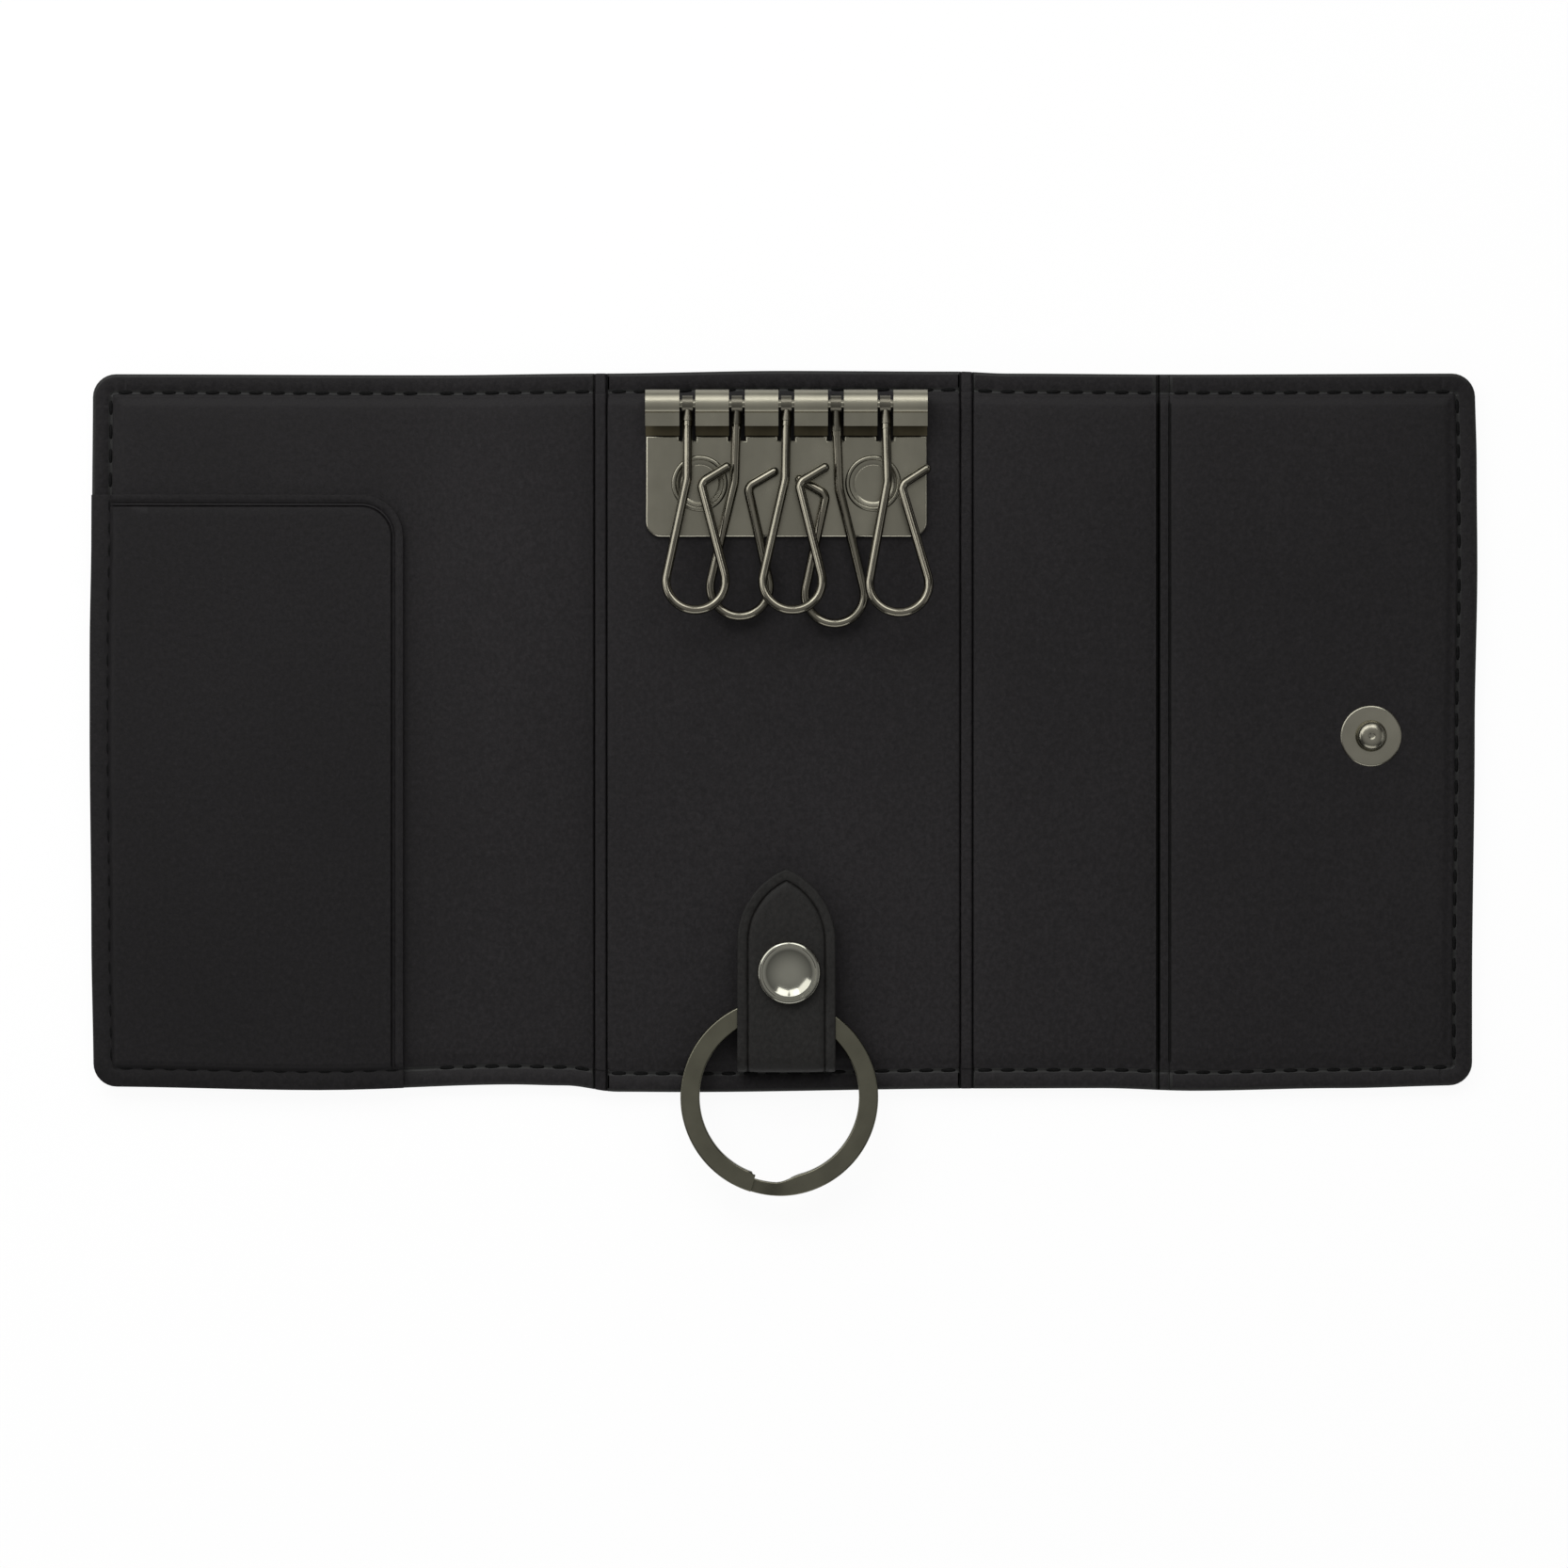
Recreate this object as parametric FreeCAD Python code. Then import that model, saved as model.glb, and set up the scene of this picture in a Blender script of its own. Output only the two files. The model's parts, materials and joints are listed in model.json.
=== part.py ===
import FreeCAD, Part
import math
import os

from FreeCAD import Placement, Rotation, Vector

# A leather key case laid open with its lining up: five panels joined by four folds, a rolled key
# plate with five swivel hooks, a press-stud strap that holds a split ring, and a press-stud closure.
# All sizes are in millimetres. The origin is the middle of the back of the centre panel.

# Panels, measured between fold axes or from a fold axis to the outer edge
case_height = 108.0
centre_width = 55.28
right_side_width = 29.7
left_flap_width = 51.06
right_flap_width = 47.36
corner_radius = 3.5

# Leather layers, from the back to the front
outer_thickness = 1.0
board_thickness = 0.5
lining_thickness = 0.8
border_width = 3.0
board_margin = 1.0
board_clearance = 0.1

# Folds: a gutter between two panels, wide enough for a right-angle fold
gutter_half_width = 1.1
fold_clearance = 0.15

# Stitching
seam_inset = 2.5
stitch_pitch = 3.3
stitch_length = 2.3
stitch_width = 0.5
stitch_height = 0.3

# Slip pocket on the left flap, open at its top and at its right
pocket_width = 47.3
pocket_height = 89.7
pocket_corner_radius = 6.4
pocket_thickness = 0.9
pocket_slit = 0.3
pocket_seam_width = 1.0

# Key plate, rolled round its pin along the top edge
hardware_x = 0.43
pin_from_top = 4.7
pin_radius = 0.7
pin_clearance = 0.02
knuckle_radius = 2.2
tail_reach = 3.4
tail_drop = 0.5
tail_thickness = 0.9
plate_width = 42.5
plate_length = 15.3
plate_from_pin = 4.7
plate_thickness = 1.0
plate_corner_radius = 2.3
plate_edge_radius = 0.4
foot_thickness = 0.7
slot_count = 5
slot_pitch = 7.45
slot_width = 2.4
slot_notch = 0.7

# Rivets that hold the key plate
rivet_spacing = 26.2
rivet_from_pin = 11.9
rivet_head_radius = 4.25
rivet_head_height = 0.35
rivet_rim_width = 0.45
rivet_dish_depth = 0.15
rivet_shank_radius = 1.5
washer_radius = 3.5

# Swivel tangs on the pin
tang_clearance = 0.05
tang_wall = 0.6
tang_width = 2.0
neck_radius = 0.95
neck_length = 1.0
head_room_radius = 0.78
head_room_length = 0.5

# Wire hooks, measured from the pin axis along the stem
wire_radius = 0.71
journal_radius = 0.52
swivel_clearance = 0.05
bead_radius = 0.84
bead_length = 0.7
stem_length = 11.0
stem_bend_radius = 6.0
loop_from_pin = 26.8
loop_offset = 1.28
loop_radius = 4.45
knee_from_pin = 11.75
knee_offset = 2.0
knee_radius = 1.3
tip_from_pin = 9.3
tip_offset = 5.9

# How each hook lies: lift off the panel and lean to the right in degrees, how far its swivel stands
# out from the pin, and which way its loop faces. Hooks 1, 3 and 5 lie over hooks 2 and 4.
upper_lift = 10.0
hook_poses = [
    {"lift": upper_lift, "lean": 0.0, "reach": 0.4, "turn": 0.0},
    {"lift": 0.0, "lean": -1.8, "reach": 0.7, "turn": 0.0},
    {"lift": upper_lift, "lean": -0.8, "reach": 0.4, "turn": 0.0},
    {"lift": 0.0, "lean": 2.2, "reach": 1.8, "turn": 180.0},
    {"lift": upper_lift, "lean": 1.5, "reach": 0.85, "turn": 0.0},
]

# Strap: one length of leather folded at the bottom, pointed at its free end
strap_width = 14.8
strap_thickness = 1.0
strap_from_bottom = 2.65
strap_front_length = 28.2
strap_back_length = 20.0
strap_point_length = 10.95

# Split ring held in the strap
ring_x = -0.64
ring_from_bottom = 1.1
ring_outer_radius = 14.9
ring_band = 2.9
ring_coil = 1.15
ring_coil_gap = 0.1
ring_clearance = 0.2
ring_end_angle = 253.0
ring_jog_angle = 22.0
ring_end_gap_angle = 2.0
ring_jog_steps = 6

# Press stud of the strap
strap_snap_from_fold = 12.65
strap_stud_flange_radius = 3.3
strap_stud_flange = 0.4
strap_bulb_radius = 1.9
strap_socket_radius = 3.4
strap_socket_gap = 0.3
strap_cap_radius = 4.75
strap_cap_rim = 0.6
strap_cap_dome = 1.1

# Press stud of the closure: stud on the right flap, socket on the back of the left flap
snap_from_middle = 0.7
stud_from_fold = 31.36
snap_flange_radius = 4.7
snap_flange = 0.5
snap_bulb_radius = 2.2
snap_bulb_height = 1.9
snap_closing_gap = 0.4
socket_barrel_radius = 3.25
socket_depth = 1.7
backing_ring_radius = 4.2
snap_cap_radius = 5.0
snap_cap_rim = 0.2
snap_cap_dome = 0.4

# Fits shared by the press studs
post_radius = 1.2
post_grip = 0.3
bulb_clearance = 0.2
spring_wire_radius = 0.2
spring_opening_angle = 40.0
fit_clearance = 0.05
hole_clearance = 0.1

# Levels and places worked out from the sizes above
half_height = case_height / 2
panel_top = outer_thickness + board_thickness + lining_thickness
board_top = outer_thickness + board_thickness
border_top = outer_thickness + lining_thickness
fold_bead_radius = gutter_half_width - fold_clearance
fold_axis_z = panel_top - fold_bead_radius
flap_gap = 2 * snap_flange + snap_closing_gap
left_side_width = right_side_width - panel_top - flap_gap

left_fold_x = -centre_width / 2
right_fold_x = centre_width / 2
left_flap_fold_x = left_fold_x - left_side_width
right_flap_fold_x = right_fold_x + right_side_width
left_edge_x = left_flap_fold_x - left_flap_width
right_edge_x = right_flap_fold_x + right_flap_width

pocket_edge_x = left_edge_x + pocket_width
pocket_top_y = pocket_height - half_height
pocket_border_top = border_top + pocket_thickness
pocket_top = panel_top + pocket_slit + pocket_thickness

pin_y = half_height - pin_from_top
pin_z = panel_top + knuckle_radius
plate_top_y = pin_y - plate_from_pin
plate_top = panel_top + plate_thickness
rivet_y = pin_y - rivet_from_pin

strap_inner_radius = (2 * ring_coil + ring_coil_gap) / 2 + ring_clearance
strap_fold_radius = strap_inner_radius + strap_thickness
strap_fold_y = strap_from_bottom + strap_fold_radius - half_height
strap_fold_z = panel_top + strap_fold_radius
strap_back_top = panel_top + strap_thickness
strap_front_z = strap_fold_z + strap_inner_radius
strap_front_top = strap_front_z + strap_thickness
strap_snap_y = strap_fold_y + strap_snap_from_fold
ring_y = -half_height - ring_from_bottom
ring_z = strap_back_top + ring_clearance

stud_x = right_flap_fold_x + stud_from_fold
socket_x = left_flap_fold_x - (centre_width - stud_from_fold)
snap_y = -snap_from_middle

x_axis = Vector(1, 0, 0)
y_axis = Vector(0, 1, 0)
z_axis = Vector(0, 0, 1)


def box(x0, x1, y0, y1, z0, z1):
    return Part.makeBox(x1 - x0, y1 - y0, z1 - z0, Vector(x0, y0, z0))


def disc(radius, x, y, z0, z1):
    return Part.makeCylinder(radius, z1 - z0, Vector(x, y, z0))


def bar(radius, x0, x1, y, z):
    return Part.makeCylinder(radius, x1 - x0, Vector(x0, y, z), x_axis)


def upright_edges(shape, x=None, y=None):
    chosen = []
    for edge in shape.Edges:
        first, last = edge.firstVertex().Point, edge.lastVertex().Point
        upright = abs(first.x - last.x) < 1e-6 and abs(first.y - last.y) < 1e-6
        at_x = x is None or abs(first.x - x) < 1e-6
        at_y = y is None or abs(first.y - y) < 1e-6
        if upright and at_x and at_y:
            chosen.append(edge)
    return chosen


# A solid of revolution about an upright axis, from (radius, height) points joined by straight lines
def turned(points, x, y):
    corners = [Vector(radius, 0, height) for radius, height in points]
    outline = Part.Face(Part.makePolygon(corners + corners[:1]))
    solid = outline.revolve(Vector(0, 0, 0), z_axis, 360)
    solid.translate(Vector(x, y, 0))
    return solid


# A panel's slab, whose outer side, if it has one, is rounded and set in by the inset like its ends
def slab(panel, z0, z1, inset=0.0):
    x0, x1 = panel["x"]
    if panel["outer"] == "left":
        x0 += inset
    if panel["outer"] == "right":
        x1 -= inset
    shape = box(x0, x1, inset - half_height, half_height - inset, z0, z1)
    radius = corner_radius - inset
    if panel["outer"] and radius > 0:
        shape = shape.makeFillet(radius, upright_edges(shape, x0 if panel["outer"] == "left" else x1))
    return shape


panels = {
    "centre": {
        "x": (left_fold_x + gutter_half_width, right_fold_x - gutter_half_width),
        "outer": None,
    },
    "left_side": {
        "x": (left_flap_fold_x + gutter_half_width, left_fold_x - gutter_half_width),
        "outer": None,
    },
    "left_flap": {
        "x": (left_edge_x, left_flap_fold_x - gutter_half_width),
        "outer": "left",
    },
    "right_side": {
        "x": (right_fold_x + gutter_half_width, right_flap_fold_x - gutter_half_width),
        "outer": None,
    },
    "right_flap": {
        "x": (right_flap_fold_x + gutter_half_width, right_edge_x),
        "outer": "right",
    },
}


# The stiffening board, clear of the seam and of both folds
def board_slab(panel, clearance):
    x0, x1 = panel["x"]
    margin = board_margin + clearance
    left = margin + (border_width if panel["outer"] == "left" else 0)
    right = margin + (border_width if panel["outer"] == "right" else 0)
    end = half_height - border_width - margin
    return box(x0 + left, x1 - right, -end, end, outer_thickness, board_top)


# The lining lies low along the sewn border and is raised over the board
def lining_slab(panel):
    low = slab(panel, outer_thickness, border_top)
    raised = slab(panel, outer_thickness, panel_top, border_width)
    return low.fuse(raised).cut(board_slab(panel, 0)).removeSplitter()


# One stitch lying along X with its middle at the origin
def stitch():
    half = stitch_width / 2
    section = [(-half, 0), (half, 0), (half, stitch_height / 2), (half / 2, stitch_height)]
    section += [(-half / 2, stitch_height), (-half, stitch_height / 2)]
    corners = [Vector(-stitch_length / 2, y, z) for y, z in section]
    face = Part.Face(Part.makePolygon(corners + corners[:1]))
    return face.extrude(Vector(stitch_length, 0, 0))


def stitch_row(start, end, z):
    run = Vector(end[0] - start[0], end[1] - start[1], 0)
    count = int(run.Length / stitch_pitch)
    turn = Rotation(z_axis, 0 if abs(run.x) > abs(run.y) else 90)
    row = []
    for index in range(count):
        middle = Vector(start[0], start[1], z) + run * ((index + 0.5) / count)
        piece = stitch()
        piece.Placement = Placement(middle, turn)
        row.append(piece)
    return row


# Seam rows along the ends of a panel and down its outer side; the pocket's rows lie on the pocket
def thread(name, panel):
    x0, x1 = panel["x"]
    end = half_height - seam_inset
    corner = seam_inset + stitch_width
    if panel["outer"] == "left":
        side, x0 = x0 + seam_inset, x0 + corner
    elif panel["outer"] == "right":
        side, x1 = x1 - seam_inset, x1 - corner
    top = half_height - corner
    rows = stitch_row((x0, end), (x1, end), border_top)
    if name == "left_flap":
        clear_y = pocket_top_y + stitch_width
        rows += stitch_row((x0, -end), (pocket_edge_x, -end), pocket_border_top)
        rows += stitch_row((side, -top), (side, pocket_top_y), pocket_border_top)
        rows += stitch_row((side, clear_y), (side, top), border_top)
    else:
        rows += stitch_row((x0, -end), (x1, -end), border_top)
    if name == "right_flap":
        rows += stitch_row((side, -top), (side, top), border_top)
    return Part.makeCompound(rows)


# The two strips of leather in a fold; a creased fold shows its lining as a rounded rib
def fold_strips(axis_x, creased):
    x0, x1 = axis_x - gutter_half_width, axis_x + gutter_half_width
    raised_end = half_height - border_width
    outer = box(x0, x1, -half_height, half_height, 0, outer_thickness)
    if creased:
        rib_start = Vector(axis_x, -raised_end, fold_axis_z)
        rib = Part.makeCylinder(fold_bead_radius, 2 * raised_end, rib_start, y_axis)
        above_outer = box(x0, x1, -raised_end, raised_end, outer_thickness, panel_top + fold_clearance)
        lining = rib.common(above_outer)
    else:
        lining = box(x0, x1, -raised_end, raised_end, outer_thickness, panel_top)
    for y0, y1 in ((-half_height, -raised_end), (raised_end, half_height)):
        lining = lining.fuse(box(x0, x1, y0, y1, outer_thickness, border_top))
    return outer, lining.removeSplitter()


# The pocket is sewn down along the outer edge and the bottom, and stands clear of the lining inside
def pocket():
    bottom, left = -half_height, left_edge_x
    whole = box(left, pocket_edge_x, bottom, pocket_top_y, border_top, pocket_top)
    sewn_corner = upright_edges(whole, left, bottom)
    whole = whole.makeFillet(corner_radius, sewn_corner)
    free_corner = upright_edges(whole, pocket_edge_x, pocket_top_y)
    whole = whole.makeFillet(pocket_corner_radius, free_corner)
    inner_left, inner_bottom = left + border_width, bottom + border_width
    raised = box(inner_left, pocket_edge_x, inner_bottom, pocket_top_y, border_top, panel_top)
    slit_left, slit_bottom = inner_left + pocket_seam_width, inner_bottom + pocket_seam_width
    slit = box(slit_left, pocket_edge_x, slit_bottom, pocket_top_y, panel_top, panel_top + pocket_slit)
    low_side = box(left, inner_left, bottom, pocket_top_y, pocket_border_top, pocket_top)
    low_end = box(left, pocket_edge_x, bottom, inner_bottom, pocket_border_top, pocket_top)
    return whole.cut([raised, slit, low_side, low_end]).removeSplitter()


slot_places = [hardware_x + (index - (slot_count - 1) / 2) * slot_pitch for index in range(slot_count)]
rivet_places = [hardware_x - rivet_spacing / 2, hardware_x + rivet_spacing / 2]


# One pressing: a flat plate, a low foot behind it and knuckles rolled round the pin, each ending in a tail
def key_plate():
    x0, x1 = hardware_x - plate_width / 2, hardware_x + plate_width / 2
    y0 = plate_top_y - plate_length
    flat = box(x0, x1, y0, plate_top_y, panel_top, plate_top)
    flat = flat.makeFillet(plate_corner_radius, upright_edges(flat, y=y0))
    rim = [edge for edge in flat.Edges if edge.BoundBox.ZMin > plate_top - 1e-6]
    flat = flat.makeFillet(plate_edge_radius, rim)
    foot = box(x0, x1, plate_top_y, pin_y, panel_top, panel_top + foot_thickness)
    roll = bar(knuckle_radius, x0, x1, pin_y, pin_z)
    tail_top = pin_z + knuckle_radius - tail_drop
    tail = box(x0, x1, pin_y - tail_reach, pin_y, tail_top - tail_thickness, tail_top)
    shape = flat.fuse([foot, roll, tail])
    cuts = [bar(pin_radius + pin_clearance, x0, x1, pin_y, pin_z)]
    for x in slot_places:
        slot_x0, slot_x1 = x - slot_width / 2, x + slot_width / 2
        slot_y0, slot_y1 = plate_top_y - slot_notch, pin_y + 2 * knuckle_radius
        cuts.append(box(slot_x0, slot_x1, slot_y0, slot_y1, panel_top, pin_z + 2 * knuckle_radius))
    for x in rivet_places:
        cuts.append(disc(rivet_shank_radius + hole_clearance, x, rivet_y, panel_top, plate_top))
    return shape.cut(cuts).removeSplitter()


# Flat heads with a raised rim, and shanks that end in washers under the lining
def rivet(x):
    crown = plate_top + rivet_head_height
    dish = rivet_head_radius - rivet_rim_width
    points = [(0, outer_thickness), (rivet_shank_radius, outer_thickness), (rivet_shank_radius, plate_top)]
    points += [(rivet_head_radius, plate_top), (rivet_head_radius, crown), (dish, crown)]
    points += [(dish - rivet_dish_depth, crown - rivet_dish_depth), (0, crown - rivet_dish_depth)]
    return turned(points, x, rivet_y)


def washer(x):
    ring = disc(washer_radius, x, rivet_y, outer_thickness, board_top)
    return ring.cut(disc(rivet_shank_radius + fit_clearance, x, rivet_y, outer_thickness, board_top))


# Where a hook's frame sits: its stem runs along minus Y from the pin before it is lifted and leaned
def hook_placement(index, with_turn):
    pose = hook_poses[index]
    aim = Rotation(x_axis, -pose["lift"]).multiply(Rotation(z_axis, pose["lean"]))
    if with_turn:
        aim = aim.multiply(Rotation(y_axis, pose["turn"]))
    return Placement(Vector(slot_places[index], pin_y, pin_z), aim)


def along_stem(radius, start, length):
    return Part.makeCylinder(radius, length, Vector(0, -start, 0), Vector(0, -1, 0))


tang_bore = pin_radius + tang_clearance
tang_radius = tang_bore + tang_wall


# A ring on the pin with a neck, hollow for the head of the hook
def swivel_tang(index):
    reach = hook_poses[index]["reach"]
    placement = hook_placement(index, False)
    x0 = slot_places[index] - tang_width / 2
    ring = bar(tang_radius, x0, x0 + tang_width, pin_y, pin_z)
    neck_start = tang_bore + tang_wall / 2
    neck_end = tang_radius + reach + neck_length - fit_clearance
    neck = along_stem(neck_radius, neck_start, neck_end - neck_start)
    room_start = tang_radius + reach + hole_clearance
    room = along_stem(head_room_radius, room_start, head_room_length)
    bore = along_stem(journal_radius + swivel_clearance, room_start + head_room_length / 2, 2 * neck_length)
    for shape in (neck, room, bore):
        shape.Placement = placement
    pin_hole = bar(tang_bore, x0, x0 + tang_width, pin_y, pin_z)
    return ring.fuse(neck).cut([room, bore, pin_hole]).removeSplitter()


# The point where a line from a point touches a circle, on its left (1) or right (-1) side
def touch_point(point, centre, radius, side):
    away = point - centre
    angle = math.atan2(away.y, away.x) + side * math.acos(radius / away.Length)
    return centre + Vector(math.cos(angle), math.sin(angle), 0) * radius


# The arc that rounds the corner between two straight runs
def round_corner(before, corner, after, radius):
    back = (before - corner).normalize()
    ahead = (after - corner).normalize()
    half = back.getAngle(ahead) / 2
    inward = (back + ahead).normalize()
    middle = corner + inward * (radius / math.sin(half) - radius)
    reach = radius / math.tan(half)
    return Part.Arc(corner + back * reach, middle, corner + ahead * reach)


# A wire hook: stem, loop and a free end that bends outwards; above its bead a thinner journal and a head
# turn in the tang
def key_hook(index):
    reach = hook_poses[index]["reach"]
    head_start = tang_radius + hole_clearance + swivel_clearance
    bead_start = tang_radius + neck_length
    loop = Vector(loop_offset, -loop_from_pin, 0)
    start = Vector(0, -bead_start - bead_length / 2, 0)
    bend = Vector(0, -stem_length, 0)
    knee = Vector(knee_offset, -knee_from_pin, 0)
    tip = Vector(tip_offset, -tip_from_pin, 0)
    left = touch_point(bend, loop, loop_radius, 1)
    right = touch_point(knee, loop, loop_radius, -1)
    stem_arc = round_corner(start, bend, left, stem_bend_radius)
    knee_arc = round_corner(right, knee, tip, knee_radius)
    edges = [
        Part.LineSegment(start, stem_arc.StartPoint),
        stem_arc,
        Part.LineSegment(stem_arc.EndPoint, left),
        Part.Arc(left, loop - y_axis * loop_radius, right),
        Part.LineSegment(right, knee_arc.StartPoint),
        knee_arc,
        Part.LineSegment(knee_arc.EndPoint, tip),
    ]
    path = Part.Wire([edge.toShape() for edge in edges])
    section = Part.Wire(Part.Circle(start, Vector(0, -1, 0), wire_radius).toShape())
    wire = path.makePipeShell([section], True, False)
    head_radius = head_room_radius - swivel_clearance
    head = along_stem(head_radius, head_start, head_room_length - 2 * swivel_clearance)
    journal = along_stem(journal_radius, head_start, bead_start + bead_length / 2 - head_start)
    bead = along_stem(bead_radius, bead_start, bead_length)
    end = Part.makeSphere(wire_radius, tip)
    shape = wire.fuse([head, journal, bead, end]).removeSplitter()
    shape.translate(Vector(0, -reach, 0))
    shape.Placement = hook_placement(index, True).multiply(shape.Placement)
    return shape


# The strap's front: square at the fold, pointed by two arcs that start along its sides
def strap_front():
    half = strap_width / 2
    shoulder = strap_fold_y + strap_front_length - strap_point_length
    radius = (half ** 2 + strap_point_length ** 2) / (2 * half)
    turn = math.asin(strap_point_length / radius) / 2
    tip = Vector(hardware_x, shoulder + strap_point_length, strap_front_z)
    bulge_x = radius * math.cos(turn) - radius + half
    bulge_y = shoulder + radius * math.sin(turn)
    left_low = Vector(hardware_x - half, strap_fold_y, strap_front_z)
    right_low = Vector(hardware_x + half, strap_fold_y, strap_front_z)
    left_high = Vector(hardware_x - half, shoulder, strap_front_z)
    right_high = Vector(hardware_x + half, shoulder, strap_front_z)
    edges = [
        Part.LineSegment(left_low, right_low),
        Part.LineSegment(right_low, right_high),
        Part.Arc(right_high, Vector(hardware_x + bulge_x, bulge_y, strap_front_z), tip),
        Part.Arc(tip, Vector(hardware_x - bulge_x, bulge_y, strap_front_z), left_high),
        Part.LineSegment(left_high, left_low),
    ]
    outline = Part.Face(Part.Wire([edge.toShape() for edge in edges]))
    front = outline.extrude(Vector(0, 0, strap_thickness))
    return front.cut(strap_hole(strap_front_z, strap_front_top))


def strap_hole(z0, z1):
    return disc(post_radius + hole_clearance, hardware_x, strap_snap_y, z0, z1)


def strap_back():
    half = strap_width / 2
    top = strap_fold_y + strap_back_length
    back = box(hardware_x - half, hardware_x + half, strap_fold_y, top, panel_top, strap_back_top)
    return back.cut(strap_hole(panel_top, strap_back_top))


def strap_fold():
    x0, x1 = hardware_x - strap_width / 2, hardware_x + strap_width / 2
    round_end = bar(strap_fold_radius, x0, x1, strap_fold_y, strap_fold_z)
    hollow = bar(strap_inner_radius, x0, x1, strap_fold_y, strap_fold_z)
    upper_half = box(x0, x1, strap_fold_y, strap_fold_y + strap_fold_radius, panel_top, strap_front_top)
    return round_end.cut([hollow, upper_half])


# A flanged stud with a bulb on a narrower neck, bored from below for its post
def stud(x, y, base, flange_radius, flange, bulb_radius, bulb_height):
    neck = bulb_radius - spring_wire_radius
    shoulder = base + flange
    crown = shoulder + bulb_height
    points = [(0, base), (flange_radius - flange / 2, base), (flange_radius, base + flange / 2)]
    points += [(flange_radius - flange / 2, shoulder), (neck, shoulder), (neck, shoulder + bulb_height / 4)]
    points += [(bulb_radius, shoulder + bulb_height / 2), (bulb_radius, crown - bulb_height / 4)]
    points += [(neck, crown), (0, crown)]
    bore = disc(post_radius + fit_clearance, x, y, base, base + post_grip + fit_clearance)
    return turned(points, x, y).cut(bore)


# A socket's bore with a groove for its spring, as one solid to cut away
def socket_bore(x, y, mouth, depth, bulb_radius):
    low, high = min(mouth, mouth + depth), max(mouth, mouth + depth)
    radius = bulb_radius + bulb_clearance
    middle = mouth + depth / 2
    groove_half = spring_wire_radius + hole_clearance
    groove = disc(radius + 2 * spring_wire_radius, x, y, middle - groove_half, middle + groove_half)
    return disc(radius, x, y, low, high).fuse(groove)


# A sprung wire ring, open at one side, that lies in the groove of a socket
def socket_spring(x, y, mouth, depth, bulb_radius):
    radius = bulb_radius + bulb_clearance + spring_wire_radius / 2
    sweep = 360 - spring_opening_angle
    ring = Part.makeTorus(radius, spring_wire_radius, Vector(0, 0, 0), z_axis, -180, 180, sweep)
    ring.translate(Vector(x, y, mouth + depth / 2))
    return ring


# A cap with a low rim and a dome, facing up (1) or down (-1), and the post that grips its partner
def cap(x, y, seat, radius, rim, dome, facing, post_end):
    edge = seat + facing * rim
    bulge = (radius ** 2 + dome ** 2) / (2 * dome)
    half_turn = math.asin(radius / bulge) / 2
    middle_z = edge + facing * (dome - bulge * (1 - math.cos(half_turn)))
    middle = Vector(bulge * math.sin(half_turn), 0, middle_z)
    crown = Vector(0, 0, edge + facing * dome)
    edges = [
        Part.LineSegment(Vector(0, 0, seat), Vector(radius, 0, seat)),
        Part.LineSegment(Vector(radius, 0, seat), Vector(radius, 0, edge)),
        Part.Arc(Vector(radius, 0, edge), middle, crown),
        Part.LineSegment(crown, Vector(0, 0, seat)),
    ]
    outline = Part.Face(Part.Wire([item.toShape() for item in edges]))
    solid = outline.revolve(Vector(0, 0, 0), z_axis, 360)
    solid.translate(Vector(x, y, 0))
    post = disc(post_radius, x, y, min(seat, post_end), max(seat, post_end))
    return solid.fuse(post).removeSplitter()


strap_socket_z = strap_back_top + strap_stud_flange + strap_socket_gap
strap_socket_depth = strap_front_z - post_grip - hole_clearance - strap_socket_z
strap_bulb_height = strap_socket_gap + strap_socket_depth - bulb_clearance


def strap_snap_nodes():
    x, y = hardware_x, strap_snap_y
    bore = socket_bore(x, y, strap_socket_z, strap_socket_depth, strap_bulb_radius)
    post_hole = disc(post_radius + fit_clearance, x, y, strap_socket_z, strap_front_z)
    post = disc(post_radius, x, y, board_top, strap_back_top + post_grip)
    flange = disc(strap_socket_radius, x, y, outer_thickness, board_top)
    stud_size = (strap_stud_flange_radius, strap_stud_flange, strap_bulb_radius, strap_bulb_height)
    cap_size = (strap_cap_radius, strap_cap_rim, strap_cap_dome)
    return {
        "strap_stud": stud(x, y, strap_back_top, *stud_size),
        "strap_stud_post": flange.fuse(post).removeSplitter(),
        "strap_socket": disc(strap_socket_radius, x, y, strap_socket_z, strap_front_z).cut([bore, post_hole]),
        "strap_socket_spring": socket_spring(x, y, strap_socket_z, strap_socket_depth, strap_bulb_radius),
        "strap_cap": cap(x, y, strap_front_top, *cap_size, 1, strap_front_z - post_grip),
    }


def closure_nodes():
    bore = socket_bore(socket_x, snap_y, -snap_flange, socket_depth, snap_bulb_radius)
    flange = disc(snap_flange_radius, socket_x, snap_y, -snap_flange, 0)
    barrel = disc(socket_barrel_radius, socket_x, snap_y, 0, board_top)
    backing = disc(backing_ring_radius, socket_x, snap_y, outer_thickness, board_top)
    backing_bore = disc(socket_barrel_radius + fit_clearance, socket_x, snap_y, outer_thickness, board_top)
    stud_size = (snap_flange_radius, snap_flange, snap_bulb_radius, snap_bulb_height)
    cap_size = (snap_cap_radius, snap_cap_rim, snap_cap_dome)
    return {
        "snap_socket": flange.fuse(barrel).cut(bore).removeSplitter(),
        "snap_socket_spring": socket_spring(socket_x, snap_y, -snap_flange, socket_depth, snap_bulb_radius),
        "snap_socket_ring": backing.cut(backing_bore),
        "snap_stud": stud(stud_x, snap_y, panel_top, *stud_size),
        "snap_cap": cap(stud_x, snap_y, 0, *cap_size, -1, panel_top + post_grip),
    }


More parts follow.
